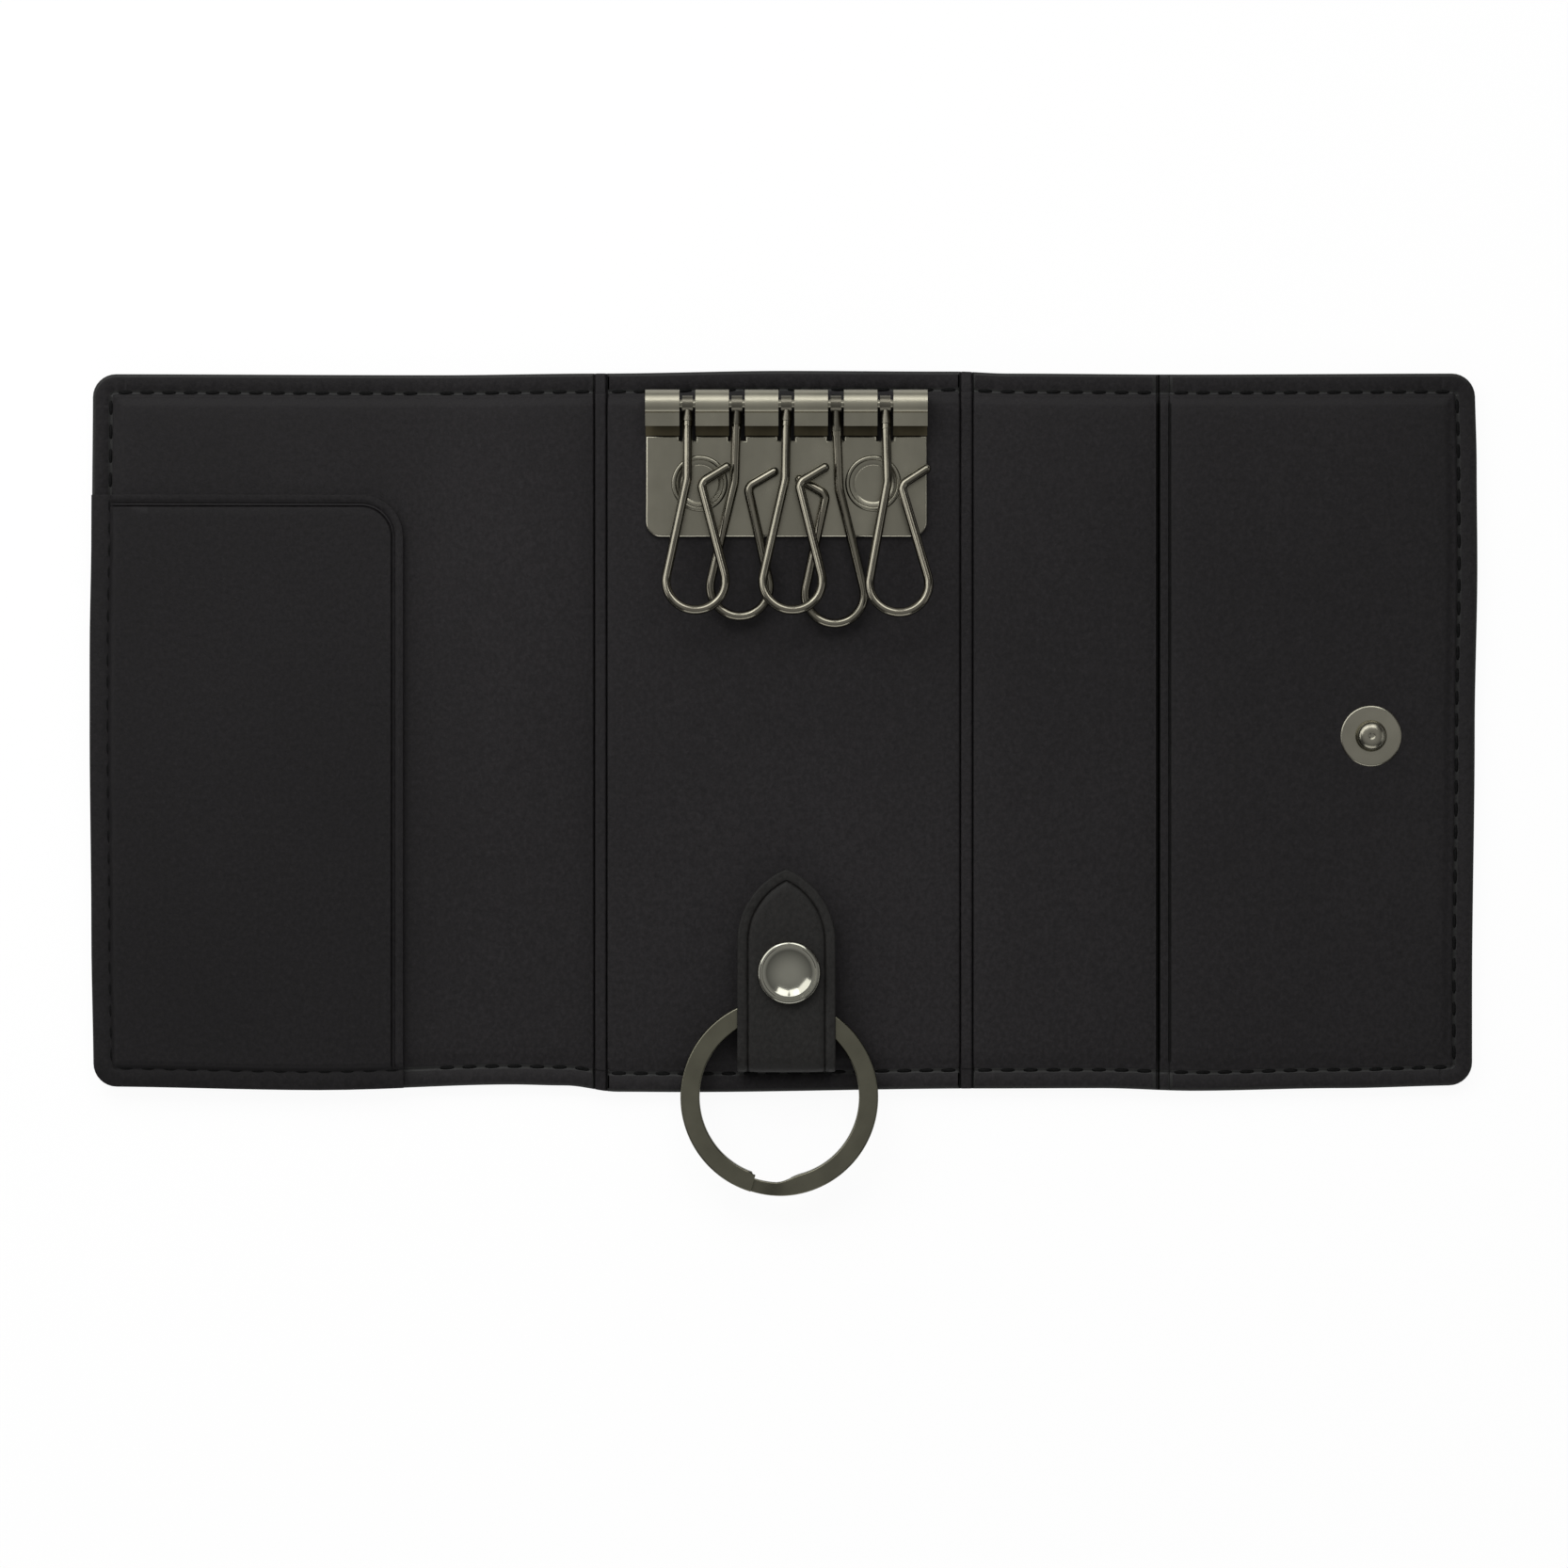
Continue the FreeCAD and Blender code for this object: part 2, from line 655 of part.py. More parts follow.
# A flat band of spring wire in two turns, with a short jog from one turn to the other
def split_ring():
    inner_radius = ring_outer_radius - ring_band
    upper_z = ring_z + ring_coil + ring_coil_gap
    jog_low = ring_end_angle + ring_end_gap_angle
    jog_high = ring_end_angle + ring_jog_angle

    def section(angle, z):
        out = Rotation(z_axis, angle).multVec(x_axis)
        base = Vector(ring_x, ring_y, z)
        rise = Vector(0, 0, ring_coil)
        near, far = base + out * inner_radius, base + out * ring_outer_radius
        return Part.makePolygon([near, far, far + rise, near + rise, near])

    def turn(start, z, sweep):
        return Part.Face(section(start, z)).revolve(Vector(ring_x, ring_y, 0), z_axis, sweep)

    upper = turn(jog_high, upper_z, 360 - ring_jog_angle)
    lower = turn(jog_high + ring_end_gap_angle, ring_z, 360 - ring_jog_angle)
    steps = []
    for step in range(ring_jog_steps + 1):
        share = step / ring_jog_steps
        angle = jog_low + share * (jog_high - jog_low)
        steps.append(section(angle, ring_z + share * (upper_z - ring_z)))
    jog = Part.makeLoft(steps, True, True)
    return upper.fuse([lower, jog]).removeSplitter()


# Holes through the leather and boards for rivets, posts and the socket
def panel_nodes():
    strap_post = [(hardware_x, strap_snap_y, post_radius + hole_clearance)]
    strap_seat = [(hardware_x, strap_snap_y, strap_socket_radius + hole_clearance)]
    shanks = [(x, rivet_y, rivet_shank_radius + hole_clearance) for x in rivet_places]
    washers = [(x, rivet_y, washer_radius + hole_clearance) for x in rivet_places]
    cap_post = [(stud_x, snap_y, post_radius + hole_clearance)]
    holes = {
        "centre_board": washers + strap_seat,
        "centre_lining": shanks + strap_post,
        "left_flap_outer_leather": [(socket_x, snap_y, socket_barrel_radius + hole_clearance)],
        "left_flap_board": [(socket_x, snap_y, backing_ring_radius + hole_clearance)],
        "right_flap_outer_leather": cap_post,
        "right_flap_board": cap_post,
        "right_flap_lining": cap_post,
    }
    nodes = {}
    for name, panel in panels.items():
        nodes[name + "_outer_leather"] = slab(panel, 0, outer_thickness)
        nodes[name + "_board"] = board_slab(panel, board_clearance)
        nodes[name + "_lining"] = lining_slab(panel)
        nodes[name + "_thread"] = thread(name, panel)
    for name, places in holes.items():
        nodes[name] = nodes[name].cut([disc(radius, x, y, 0, panel_top) for x, y, radius in places])
    return nodes


def fold_nodes():
    folds = {
        "left_fold": (left_fold_x, True),
        "left_flap_fold": (left_flap_fold_x, False),
        "right_fold": (right_fold_x, True),
        "right_flap_fold": (right_flap_fold_x, True),
    }
    nodes = {}
    for name, (axis_x, creased) in folds.items():
        nodes[name + "_outer"], nodes[name + "_lining"] = fold_strips(axis_x, creased)
    return nodes


def hardware_nodes():
    half_pin = plate_width / 2
    nodes = {
        "key_plate": key_plate(),
        "hook_pin": bar(pin_radius, hardware_x - half_pin, hardware_x + half_pin, pin_y, pin_z),
        "plate_rivets": Part.makeCompound([rivet(x) for x in rivet_places]),
        "rivet_washers": Part.makeCompound([washer(x) for x in rivet_places]),
        "split_ring": split_ring(),
    }
    for index in range(slot_count):
        nodes[f"swivel_tang_{index + 1}"] = swivel_tang(index)
        nodes[f"key_hook_{index + 1}"] = key_hook(index)
    return nodes


def all_nodes():
    nodes = panel_nodes()
    nodes.update(fold_nodes())
    nodes["pocket_panel"] = pocket()
    nodes.update(hardware_nodes())
    nodes["strap_back"] = strap_back()
    nodes["strap_fold"] = strap_fold()
    nodes["strap_front"] = strap_front()
    nodes.update(strap_snap_nodes())
    nodes.update(closure_nodes())
    return nodes


def main():
    os.makedirs("parts", exist_ok=True)
    for name, shape in all_nodes().items():
        shape.exportStep(f"parts/{name}.step")


main()
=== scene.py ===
import bmesh
import bpy
import json
import math
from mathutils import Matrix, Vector


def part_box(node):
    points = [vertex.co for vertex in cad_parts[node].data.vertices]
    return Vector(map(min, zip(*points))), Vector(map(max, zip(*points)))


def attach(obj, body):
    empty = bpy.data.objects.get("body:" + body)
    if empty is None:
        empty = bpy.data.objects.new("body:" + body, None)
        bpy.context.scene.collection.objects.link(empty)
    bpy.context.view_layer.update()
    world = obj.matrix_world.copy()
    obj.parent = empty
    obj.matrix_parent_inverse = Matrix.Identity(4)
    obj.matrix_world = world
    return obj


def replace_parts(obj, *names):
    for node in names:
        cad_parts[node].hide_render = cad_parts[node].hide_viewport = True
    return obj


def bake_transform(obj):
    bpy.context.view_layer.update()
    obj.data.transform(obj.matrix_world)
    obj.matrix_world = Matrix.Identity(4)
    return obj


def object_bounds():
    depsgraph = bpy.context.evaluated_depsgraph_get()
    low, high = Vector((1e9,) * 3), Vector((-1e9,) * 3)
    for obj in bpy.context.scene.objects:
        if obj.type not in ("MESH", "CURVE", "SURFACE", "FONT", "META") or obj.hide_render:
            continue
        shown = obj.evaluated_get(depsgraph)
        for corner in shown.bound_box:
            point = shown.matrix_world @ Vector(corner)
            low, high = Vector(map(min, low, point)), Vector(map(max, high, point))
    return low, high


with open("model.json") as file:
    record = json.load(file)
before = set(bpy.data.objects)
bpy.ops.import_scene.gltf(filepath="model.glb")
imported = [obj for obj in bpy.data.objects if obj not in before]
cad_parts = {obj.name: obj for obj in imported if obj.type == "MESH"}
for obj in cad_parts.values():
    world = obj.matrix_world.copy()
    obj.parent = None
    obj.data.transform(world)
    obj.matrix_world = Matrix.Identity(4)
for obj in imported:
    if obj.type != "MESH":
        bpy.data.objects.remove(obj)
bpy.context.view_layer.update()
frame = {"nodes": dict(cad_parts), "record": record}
mm = 0.001  # sizes below are in millimetres
near = 1e-6  # metres, for points that should meet
slack = 0.01  # millimetres, for tests of a height or an end
level = 0.9  # least Z of the normal of a face that lies flat
print("frame loaded with", len(frame["nodes"]), "nodes")


# selecting and editing

def deselectAll():
    if bpy.context.mode != "OBJECT":
        bpy.ops.object.mode_set(mode="OBJECT")
    bpy.ops.object.select_all(action="DESELECT")


def choose(obj):
    deselectAll()
    obj.select_set(True)
    bpy.context.view_layer.objects.active = obj


def edit(obj):
    choose(obj)
    bpy.ops.object.mode_set(mode="EDIT")


def leaveEdit():
    bpy.ops.object.mode_set(mode="OBJECT")


def selectAll():
    bpy.ops.mesh.select_all(action="SELECT")


def faceOut():
    selectAll()
    bpy.ops.mesh.normals_make_consistent(inside=False)


def bevelPicked(offset, segments, affect="EDGES"):
    bpy.ops.mesh.bevel(offset=offset * mm, segments=segments, affect=affect)


def bevelRim(test, offset, segments):  # along the outline of the faces that pass a test
    pick("FACE", test)
    bpy.ops.mesh.region_to_loop()
    bevelPicked(offset, segments)


def mergePoints():
    selectAll()
    bpy.ops.mesh.remove_doubles(threshold=near)


def insetRows(rows):  # rings stepped in and up or down from the picked face
    for thickness, depth in rows:
        bpy.ops.mesh.inset(thickness=thickness * mm, depth=depth * mm)


def settle(name):  # place and size go into the mesh
    obj = bpy.context.object
    obj.name = obj.data.name = name
    bpy.ops.object.transform_apply(location=True, rotation=True, scale=True)
    return obj


def pick(kind, test):  # selects the verts, edges or faces that pass a test
    data = bpy.context.object.data
    bpy.ops.mesh.select_mode(type=kind)
    bpy.ops.mesh.select_all(action="DESELECT")
    mesh = bmesh.from_edit_mesh(data)
    for item in {"VERT": mesh.verts, "EDGE": mesh.edges, "FACE": mesh.faces}[kind]:
        if test(item):
            item.select = True
    mesh.select_flush_mode()
    bmesh.update_edit_mesh(data)


def pickEnds(test):  # edges whose two ends pass a test of their place
    pick("EDGE", lambda e: all(test(v.co) for v in e.verts))


def midOf(face):
    return face.calc_center_median() / mm


def slicePlane(axis, value, **extra):  # cuts all faces at one place along X, Y or Z
    selectAll()
    point, normal = [0, 0, 0], [0, 0, 0]
    point[axis], normal[axis] = value * mm, 1
    bpy.ops.mesh.bisect(plane_co=point, plane_no=normal, threshold=1e-7, **extra)


def sliceEvenly(axis, low, high, count, skip=1):  # skip is 0 to cut at both ends too
    for index in range(skip, count + 1 - skip):
        slicePlane(axis, low + (high - low) * index / count)


def moveVerts(obj, shift):  # a shape pass over every vertex, in millimetres
    for vert in obj.data.vertices:
        vert.co = Vector(shift(*(vert.co / mm))) * mm
    obj.data.update()


def addBlock(name, low, high):
    deselectAll()
    bpy.ops.mesh.primitive_cube_add(size=1, location=[(a + b) / 2 * mm for a, b in zip(low, high)])
    bpy.context.object.scale = [(b - a) * mm for a, b in zip(low, high)]
    return settle(name)


def addSheet(name, place, width, length, tilt=0):
    deselectAll()
    bpy.ops.mesh.primitive_plane_add(size=1, location=[at * mm for at in place], rotation=(tilt, 0, 0))
    bpy.context.object.scale = (width * mm, length * mm, 1)
    return settle(name)


def addDisc(name, x, y, z0, z1, radius, sides=64, tilt=0):
    deselectAll()
    bpy.ops.mesh.primitive_cylinder_add(
        vertices=sides, radius=radius * mm, depth=(z1 - z0) * mm, rotation=(0, tilt, 0),
        location=(x * mm, y * mm, (z0 + z1) / 2 * mm))
    return settle(name)


def paintFaces(obj, material, test):  # some faces in a finish of their own
    obj.data.materials.append(material)
    edit(obj)
    pick("FACE", test)
    obj.active_material_index = len(obj.data.materials) - 1
    bpy.ops.object.material_slot_assign()
    leaveEdit()


def addObject(name, data):
    obj = bpy.data.objects.new(name, data)
    bpy.context.collection.objects.link(obj)
    return obj


def copyOf(obj, name):
    data = obj.data.copy()
    data.name = name
    return addObject(name, data)


def applyModifier(obj, kind, **values):
    choose(obj)
    modifier = obj.modifiers.new(kind.lower(), kind)
    for key, value in values.items():
        setattr(modifier, key, value)
    bpy.ops.object.modifier_apply(modifier=modifier.name)


def roundEdges(obj, width, segments, degrees):  # at edges sharper than so many degrees
    applyModifier(obj, "BEVEL", width=width * mm, segments=segments, limit_method="ANGLE",
                  angle_limit=math.radians(degrees))


def smooth(obj, degrees=50):
    choose(obj)
    bpy.ops.object.shade_smooth_by_angle(angle=math.radians(degrees))


def coat(obj, material, degrees=50):
    obj.data.materials.append(material)
    smooth(obj, degrees)


def joined(objs, name):
    deselectAll()
    for obj in objs:
        obj.select_set(True)
    bpy.context.view_layer.objects.active = objs[0]
    bpy.ops.object.join()
    obj = bpy.context.object
    obj.name = obj.data.name = name
    return obj


def spanOf(*nodes):  # lowest and highest corner of some nodes, in millimetres
    boxes = [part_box(node) for node in nodes]
    low = [min(box[0][i] for box in boxes) / mm for i in range(3)]
    high = [max(box[1][i] for box in boxes) / mm for i in range(3)]
    return low, high


def middleOf(low, high):
    return (low[0] + high[0]) / 2, (low[1] + high[1]) / 2


def easeIn(value, start, end):  # 0 before start, 1 after end, smooth between
    share = min(max((value - start) / (end - start), 0), 1)
    return share * share * (3 - 2 * share)


# materials

def newMaterial(name):
    material = bpy.data.materials.new(name)
    material.use_nodes = True
    tree = material.node_tree
    tree.nodes.clear()
    output = tree.nodes.new("ShaderNodeOutputMaterial")
    shader = tree.nodes.new("ShaderNodeBsdfPrincipled")
    tree.links.new(shader.outputs["BSDF"], output.inputs["Surface"])
    return material, tree, shader


def feed(tree, item, values):  # links what varies, and sets what is the same all over
    for key, value in values.items():
        if isinstance(value, bpy.types.NodeSocket):
            tree.links.new(value, item.inputs[key])
        else:
            item.inputs[key].default_value = value


def addNode(tree, kind, settings=None, **inputs):  # i0, i1 and so on are sockets by number
    item = tree.nodes.new(kind)
    for key, value in (settings or {}).items():
        setattr(item, key, value)
    feed(tree, item, {int(key[1:]) if key[1:].isdigit() else key: value for key, value in inputs.items()})
    return item


def placeOn(tree):
    return addNode(tree, "ShaderNodeTexCoord").outputs["Object"]


def combine(tree, operation, first, second):
    return addNode(tree, "ShaderNodeMath", {"operation": operation}, i0=first, i1=second).outputs[0]


def weighed(tree, *shares):  # the sum of values, each times its weight
    parts = [combine(tree, "MULTIPLY", value, weight) for value, weight in shares]
    total = parts[0]
    for part in parts[1:]:
        total = combine(tree, "ADD", total, part)
    return total


def noiseAt(tree, place, scale, detail=4.0, rough=0.55, stretch=(1, 1, 1), warp=0.0):
    mapped = addNode(tree, "ShaderNodeMapping", Vector=place, Scale=stretch).outputs[0]
    noise = addNode(tree, "ShaderNodeTexNoise", Vector=mapped, Scale=scale, Detail=detail, Roughness=rough,
                    Distortion=warp)
    return noise.outputs["Fac"]


def rampOf(tree, fac, stops):  # stops are (position, colour or grey)
    ramp = addNode(tree, "ShaderNodeValToRGB", Fac=fac)
    elements = ramp.color_ramp.elements
    while len(elements) < len(stops):
        elements.new(0.5)
    for element, (position, shade) in zip(elements, stops):
        element.position = position
        element.color = (shade, shade, shade, 1) if isinstance(shade, float) else (*shade, 1)
    return ramp.outputs["Color"]


def rangeOf(tree, fac, low, high, fromLow=0.0, fromHigh=1.0):
    return addNode(tree, "ShaderNodeMapRange", i0=fac, i1=fromLow, i2=fromHigh, i3=low, i4=high).outputs[0]


def roughOf(tree, fac, look, fromLow, fromHigh):
    low, high = look["rough"] - look["roughSwing"], look["rough"] + look["roughSwing"]
    return rangeOf(tree, fac, low, high, fromLow, fromHigh)


def bumpOf(tree, height, strength, distance):
    return addNode(tree, "ShaderNodeBump", Height=height, Strength=strength, Distance=distance).outputs[0]


def makeLeather(name, look):
    material, tree, shader = newMaterial(name)
    place = placeOn(tree)
    broad = noiseAt(tree, place, look["mottleScale"], 3.0)
    fibres = noiseAt(tree, place, look["fibreScale"], 5.0, 0.6, look["stretch"], 0.4)
    hairs = noiseAt(tree, place, look["hairScale"], 2.0, 0.5, look["stretch"], 0.6)
    waver = addNode(tree, "ShaderNodeTexNoise", Vector=place, Scale=look["grainScale"] * 0.7, Detail=2.0)
    warped = addNode(tree, "ShaderNodeVectorMath", {"operation": "MULTIPLY_ADD"}, i0=waver.outputs["Color"],
                     i1=(look["grainWarp"],) * 3, i2=place)
    cells = addNode(tree, "ShaderNodeTexVoronoi", {"feature": "DISTANCE_TO_EDGE"}, Vector=warped.outputs[0],
                    Scale=look["grainScale"])
    pebble = rangeOf(tree, cells.outputs["Distance"], 0.0, 1.0, 0.0, 0.22)
    loose = rangeOf(tree, hairs, 0.0, look["hairShare"], 0.58, 0.76)  # a few raised fibres
    ground = weighed(tree, (broad, look["mottleShare"]), (fibres, 1 - look["mottleShare"]))
    tone = combine(tree, "ADD", ground, loose)
    colour = rampOf(tree, tone, [(0.37, look["dark"]), (0.5, look["base"]), (0.66, look["light"])])
    # painted shade: a ramp along X multiplies the leather's colour
    x = addNode(tree, "ShaderNodeSeparateXYZ", i0=place).outputs["X"]
    shade = rampOf(tree, rangeOf(tree, x, 0.0, 1.0, -look["reach"], look["reach"]), look["paintedShades"])
    paintedShadeMix = addNode(tree, "ShaderNodeMix", {"data_type": "RGBA", "blend_type": "MULTIPLY"},
                     i0=1.0, i6=colour, i7=shade)
    height = weighed(tree, (pebble, look["pebbleHeight"]), (fibres, look["fibreHeight"]),
                     (hairs, look["hairHeight"]))
    feed(tree, shader, {
        "Base Color": paintedShadeMix.outputs[2], "Roughness": roughOf(tree, fibres, look, 0.3, 0.7),
        "Normal": bumpOf(tree, height, look["bump"], 0.0001), "Specular IOR Level": look["gloss"],
    })
    return material


def makeMetal(name, look):
    material, tree, shader = newMaterial(name)
    place = placeOn(tree)
    cloud = noiseAt(tree, place, look["cloudScale"], 4.0)
    scratch = noiseAt(tree, place, look["scratchScale"], 2.0, 0.6, look["stretch"])
    tone = weighed(tree, (cloud, 0.8), (scratch, 0.2))
    colour = rampOf(tree, tone, [(0.32, look["dark"]), (0.5, look["base"]), (0.68, look["light"])])
    feed(tree, shader, {
        "Base Color": colour, "Roughness": roughOf(tree, tone, look, 0.35, 0.65),
        "Normal": bumpOf(tree, scratch, look["bump"], 0.00002), "Metallic": 1.0,
    })
    return material


def makeThread(name, look):
    material, tree, shader = newMaterial(name)
    twist = noiseAt(tree, placeOn(tree), look["twistScale"], 2.0)
    feed(tree, shader, {
        "Base Color": rampOf(tree, twist, [(0.35, look["dark"]), (0.65, look["light"])]),
        "Normal": bumpOf(tree, twist, 0.6, 0.00008),
        "Roughness": look["rough"], "Specular IOR Level": look["gloss"],
    })
    return material


def makeBoard(name, look):
    material, tree, shader = newMaterial(name)
    pulp = noiseAt(tree, placeOn(tree), look["pulpScale"], 6.0)
    colour = rampOf(tree, pulp, [(0.3, look["dark"]), (0.7, look["light"])])
    feed(tree, shader, {"Base Color": colour, "Roughness": look["rough"]})
    return material


def tint(colour, factor):
    return tuple(channel * factor for channel in colour)


def toned(look, colour, dark, light, **changes):  # one colour with its darker and lighter tones
    return dict(look, base=colour, dark=tint(colour, dark), light=tint(colour, light), **changes)


leather = dict(
    mottleScale=14.0, mottleShare=0.3, fibreScale=1700.0, fibreHeight=0.5, stretch=(1.0, 0.8, 1.0),
    hairScale=2200.0, hairShare=0.1, hairHeight=0.3,
    grainScale=1250.0, grainWarp=0.0004, pebbleHeight=0.22,
    rough=0.58, roughSwing=0.1, gloss=0.13, bump=0.45,
    reach=0.105,  # half the width that the painted shade below runs over, left to right
    # painted light and shade: the leather's colour is multiplied darker towards both ends of the case,
    # standing in for how the light falls on each panel
    paintedShades=[(0.0, 0.74), (0.2, 0.74), (0.29, 1.0), (0.36, 0.9), (0.39, 0.96), (0.62, 1.0), (0.77, 0.88),
               (1.0, 0.74)],
)
liningColour = (0.0128, 0.0117, 0.0124)
liningLeather = makeLeather("liningLeather", toned(leather, liningColour, 0.72, 1.5))
pocketLeather = makeLeather("pocketLeather", toned(leather, tint(liningColour, 0.95), 0.72, 1.5))
borderLeather = makeLeather("borderLeather", toned(
    leather, (0.0132, 0.0132, 0.0126), 0.75, 1.3, rough=0.48, bump=0.25, gloss=0.2, hairShare=0.05))
outerLeather = makeLeather("outerLeather", toned(
    leather, (0.0115, 0.011, 0.0114), 0.7, 1.45, hairShare=0.05, grainScale=900.0, pebbleHeight=0.5,
    fibreHeight=0.3, rough=0.5, gloss=0.2))
strapLeather = makeLeather("strapLeather", toned(
    leather, (0.0142, 0.0136, 0.0128), 0.7, 1.4, rough=0.56, bump=0.35, hairShare=0.06))

metal = dict(
    cloudScale=130.0, scratchScale=260.0, stretch=(3.0, 0.6, 1.0),
    rough=0.25, roughSwing=0.03, bump=0.006,
)
roundMetal = dict(metal, stretch=(1, 1, 1))  # worn alike all round
plateColour = (0.212, 0.202, 0.16)
plateMetal = makeMetal("plateMetal", toned(metal, plateColour, 0.9, 1.1))
# painted shade: a dark copy of the metal for grooves and hollows, where shade falls
paintedShadeMetal = makeMetal("paintedShadeMetal", toned(metal, (0.07, 0.06, 0.037), 0.7, 1.3, rough=0.5))
# painted highlight: a lighter, rougher copy of the plate's metal for the rolls, standing in for the light
# they catch
paintedHighlightRoll = makeMetal("paintedHighlightRoll", toned(metal, tint(plateColour, 1.22), 0.92, 1.08, rough=0.36))
# painted highlight: a much lighter metal for the plate's rounded top edges, standing in for the light they
# catch
paintedEdgeHighlight = makeMetal("paintedEdgeHighlight", toned(metal, (0.45, 0.43, 0.35), 0.8, 1.15))
tangMetal = makeMetal("tangMetal", toned(metal, (0.11, 0.103, 0.082), 0.85, 1.15, rough=0.32))
ringMetal = makeMetal("ringMetal", toned(
    roundMetal, (0.118, 0.114, 0.085), 0.88, 1.12, cloudScale=180.0, rough=0.27, roughSwing=0.05))
wireMetal = makeMetal("wireMetal", toned(roundMetal, (0.165, 0.155, 0.122), 0.88, 1.12, rough=0.15))
studMetal = makeMetal("studMetal", toned(roundMetal, (0.225, 0.215, 0.173), 0.9, 1.1, rough=0.24))
capMetal = makeMetal("capMetal", toned(
    roundMetal, (0.27, 0.266, 0.224), 0.95, 1.05, rough=0.12, roughSwing=0.02))
springSteel = makeMetal("springSteel", toned(metal, (0.3, 0.3, 0.29), 0.9, 1.1))

waxedThread = makeThread("waxedThread", dict(
    twistScale=2600.0, dark=(0.0012,) * 3, light=(0.004,) * 3, rough=0.65, gloss=0.08))
stiffBoard = makeBoard("stiffBoard", dict(
    pulpScale=600.0, dark=(0.08, 0.07, 0.06), light=(0.13, 0.12, 0.1), rough=0.9))
print("materials ready")


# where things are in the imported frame

sides = ["left_flap", "left_side", "centre", "right_side", "right_flap"]
caseLow, caseHigh = spanOf(*[side + "_outer_leather" for side in sides])
panelSpan = {side: spanOf(side + "_lining") for side in sides}
folds = ["left_flap_fold", "left_fold", "right_fold", "right_flap_fold"]
foldEnds = {fold: [corner[0] for corner in spanOf(fold + "_outer")] for fold in folds}
foldAxis = {fold: sum(ends) / 2 for fold, ends in foldEnds.items()}
backZ, outerTop = caseLow[2], caseHigh[2]
liningTop = panelSpan["centre"][1][2]

case = dict(
    corner=3.5, cornerSteps=8, borderTop=1.8, seamInset=2.8, glueLine=0.1, foldSlices=10,
    fadeX=(75, 104), fadeY=(20, 54),  # between these places the waves below grow to full height
    topWave=[(-105, 0.0), (-52, -0.15), (-28, 0.1), (0, 0.5), (26, 0.4), (34, 0.1), (60, -0.05),
                (105, 0.1)],
    bottomWave=[(-105, 0.35), (-70, -0.2), (-41, 0.6), (-33, 0.45), (-25, -0.5), (-15, -0.55), (30, 0.0),
                   (48, 0.05), (62, -0.35), (84, 0.05), (105, 0.5)],
    leftWave=[(-54, 0.5), (-30, 0.15), (0, -0.1), (12, -0.1), (30, 0.15), (54, 0.3)],
    rightWave=[(-54, -0.6), (-40, -0.6), (0, -0.2), (25, 0.2), (40, 0.1), (54, -0.2)],
)


def alongCurve(points, value):  # smooth curve through (place, height) points
    for (x0, h0), (x1, h1) in zip(points, points[1:]):
        if value <= x1:
            return h0 + (h1 - h0) * easeIn(value, x0, x1)
    return points[-1][1]


def uneven(x, y, z):  # the small waviness of the leather's outline
    upper = alongCurve(case["topWave"], x) * easeIn(y, *case["fadeY"])
    lower = alongCurve(case["bottomWave"], x) * easeIn(-y, *case["fadeY"])
    left = alongCurve(case["leftWave"], y) * easeIn(-x, *case["fadeX"])
    right = alongCurve(case["rightWave"], y) * easeIn(x, *case["fadeX"])
    return x + left + right, y + upper + lower, z


# seam rows of each panel

thread = dict(
    pitch=3.3, length=3.0, radius=0.37, sides=8, rings=6, sink=0.33, dip=0.3,
    taper=0.45, endGap=0.5, overPocket=0.9, backSink=0.06, puckerReach=1,
)


def seamRow(start, end, z):
    across, along = end[0] - start[0], end[1] - start[1]
    run = math.hypot(across, along)
    way = (across / run, along / run)
    return dict(start=start, way=way, run=run, z=z, count=int(run / thread["pitch"]))


def rowsOf(side):
    (x0, y0, _), (x1, y1, _) = panelSpan[side]
    inset = case["seamInset"]
    low, high, corner = y0 + inset, y1 - inset, inset + thread["endGap"]
    border = case["borderTop"]
    overPocket = border + thread["overPocket"]
    rows = []
    if side == "left_flap":
        pocketX, pocketY, _ = spanOf("pocket_panel")[1]
        x = x0 + inset
        rows.append(((x0 + corner, low), (pocketX, low), overPocket))
        rows.append(((x, y0 + corner), (x, pocketY), overPocket))
        rows.append(((x, pocketY + thread["endGap"]), (x, y1 - corner), border))
        x0 += corner
    if side == "right_flap":
        x = x1 - inset
        rows.append(((x, y0 + corner), (x, y1 - corner), border))
        x1 -= corner
    if side != "left_flap":
        rows.append(((x0, low), (x1, low), border))
    rows.append(((x0, high), (x1, high), border))
    return [seamRow(*row) for row in rows]


seams = {side: rowsOf(side) for side in sides}


def pucker(x, y):  # 1 under the middle of a stitch, -1 between two
    for side in sides:
        for row in seams[side]:
            (x0, y0), (wayX, wayY) = row["start"], row["way"]
            share = ((x - x0) * wayX + (y - y0) * wayY) / row["run"]
            aside = abs((x - x0) * wayY - (y - y0) * wayX)
            if aside < thread["puckerReach"] and 0 <= share <= 1:
                return math.cos(2 * math.pi * (share * row["count"] - 0.5))
    return 0.0


# leather blanks: one whole skin each, later cut into pieces at the folds

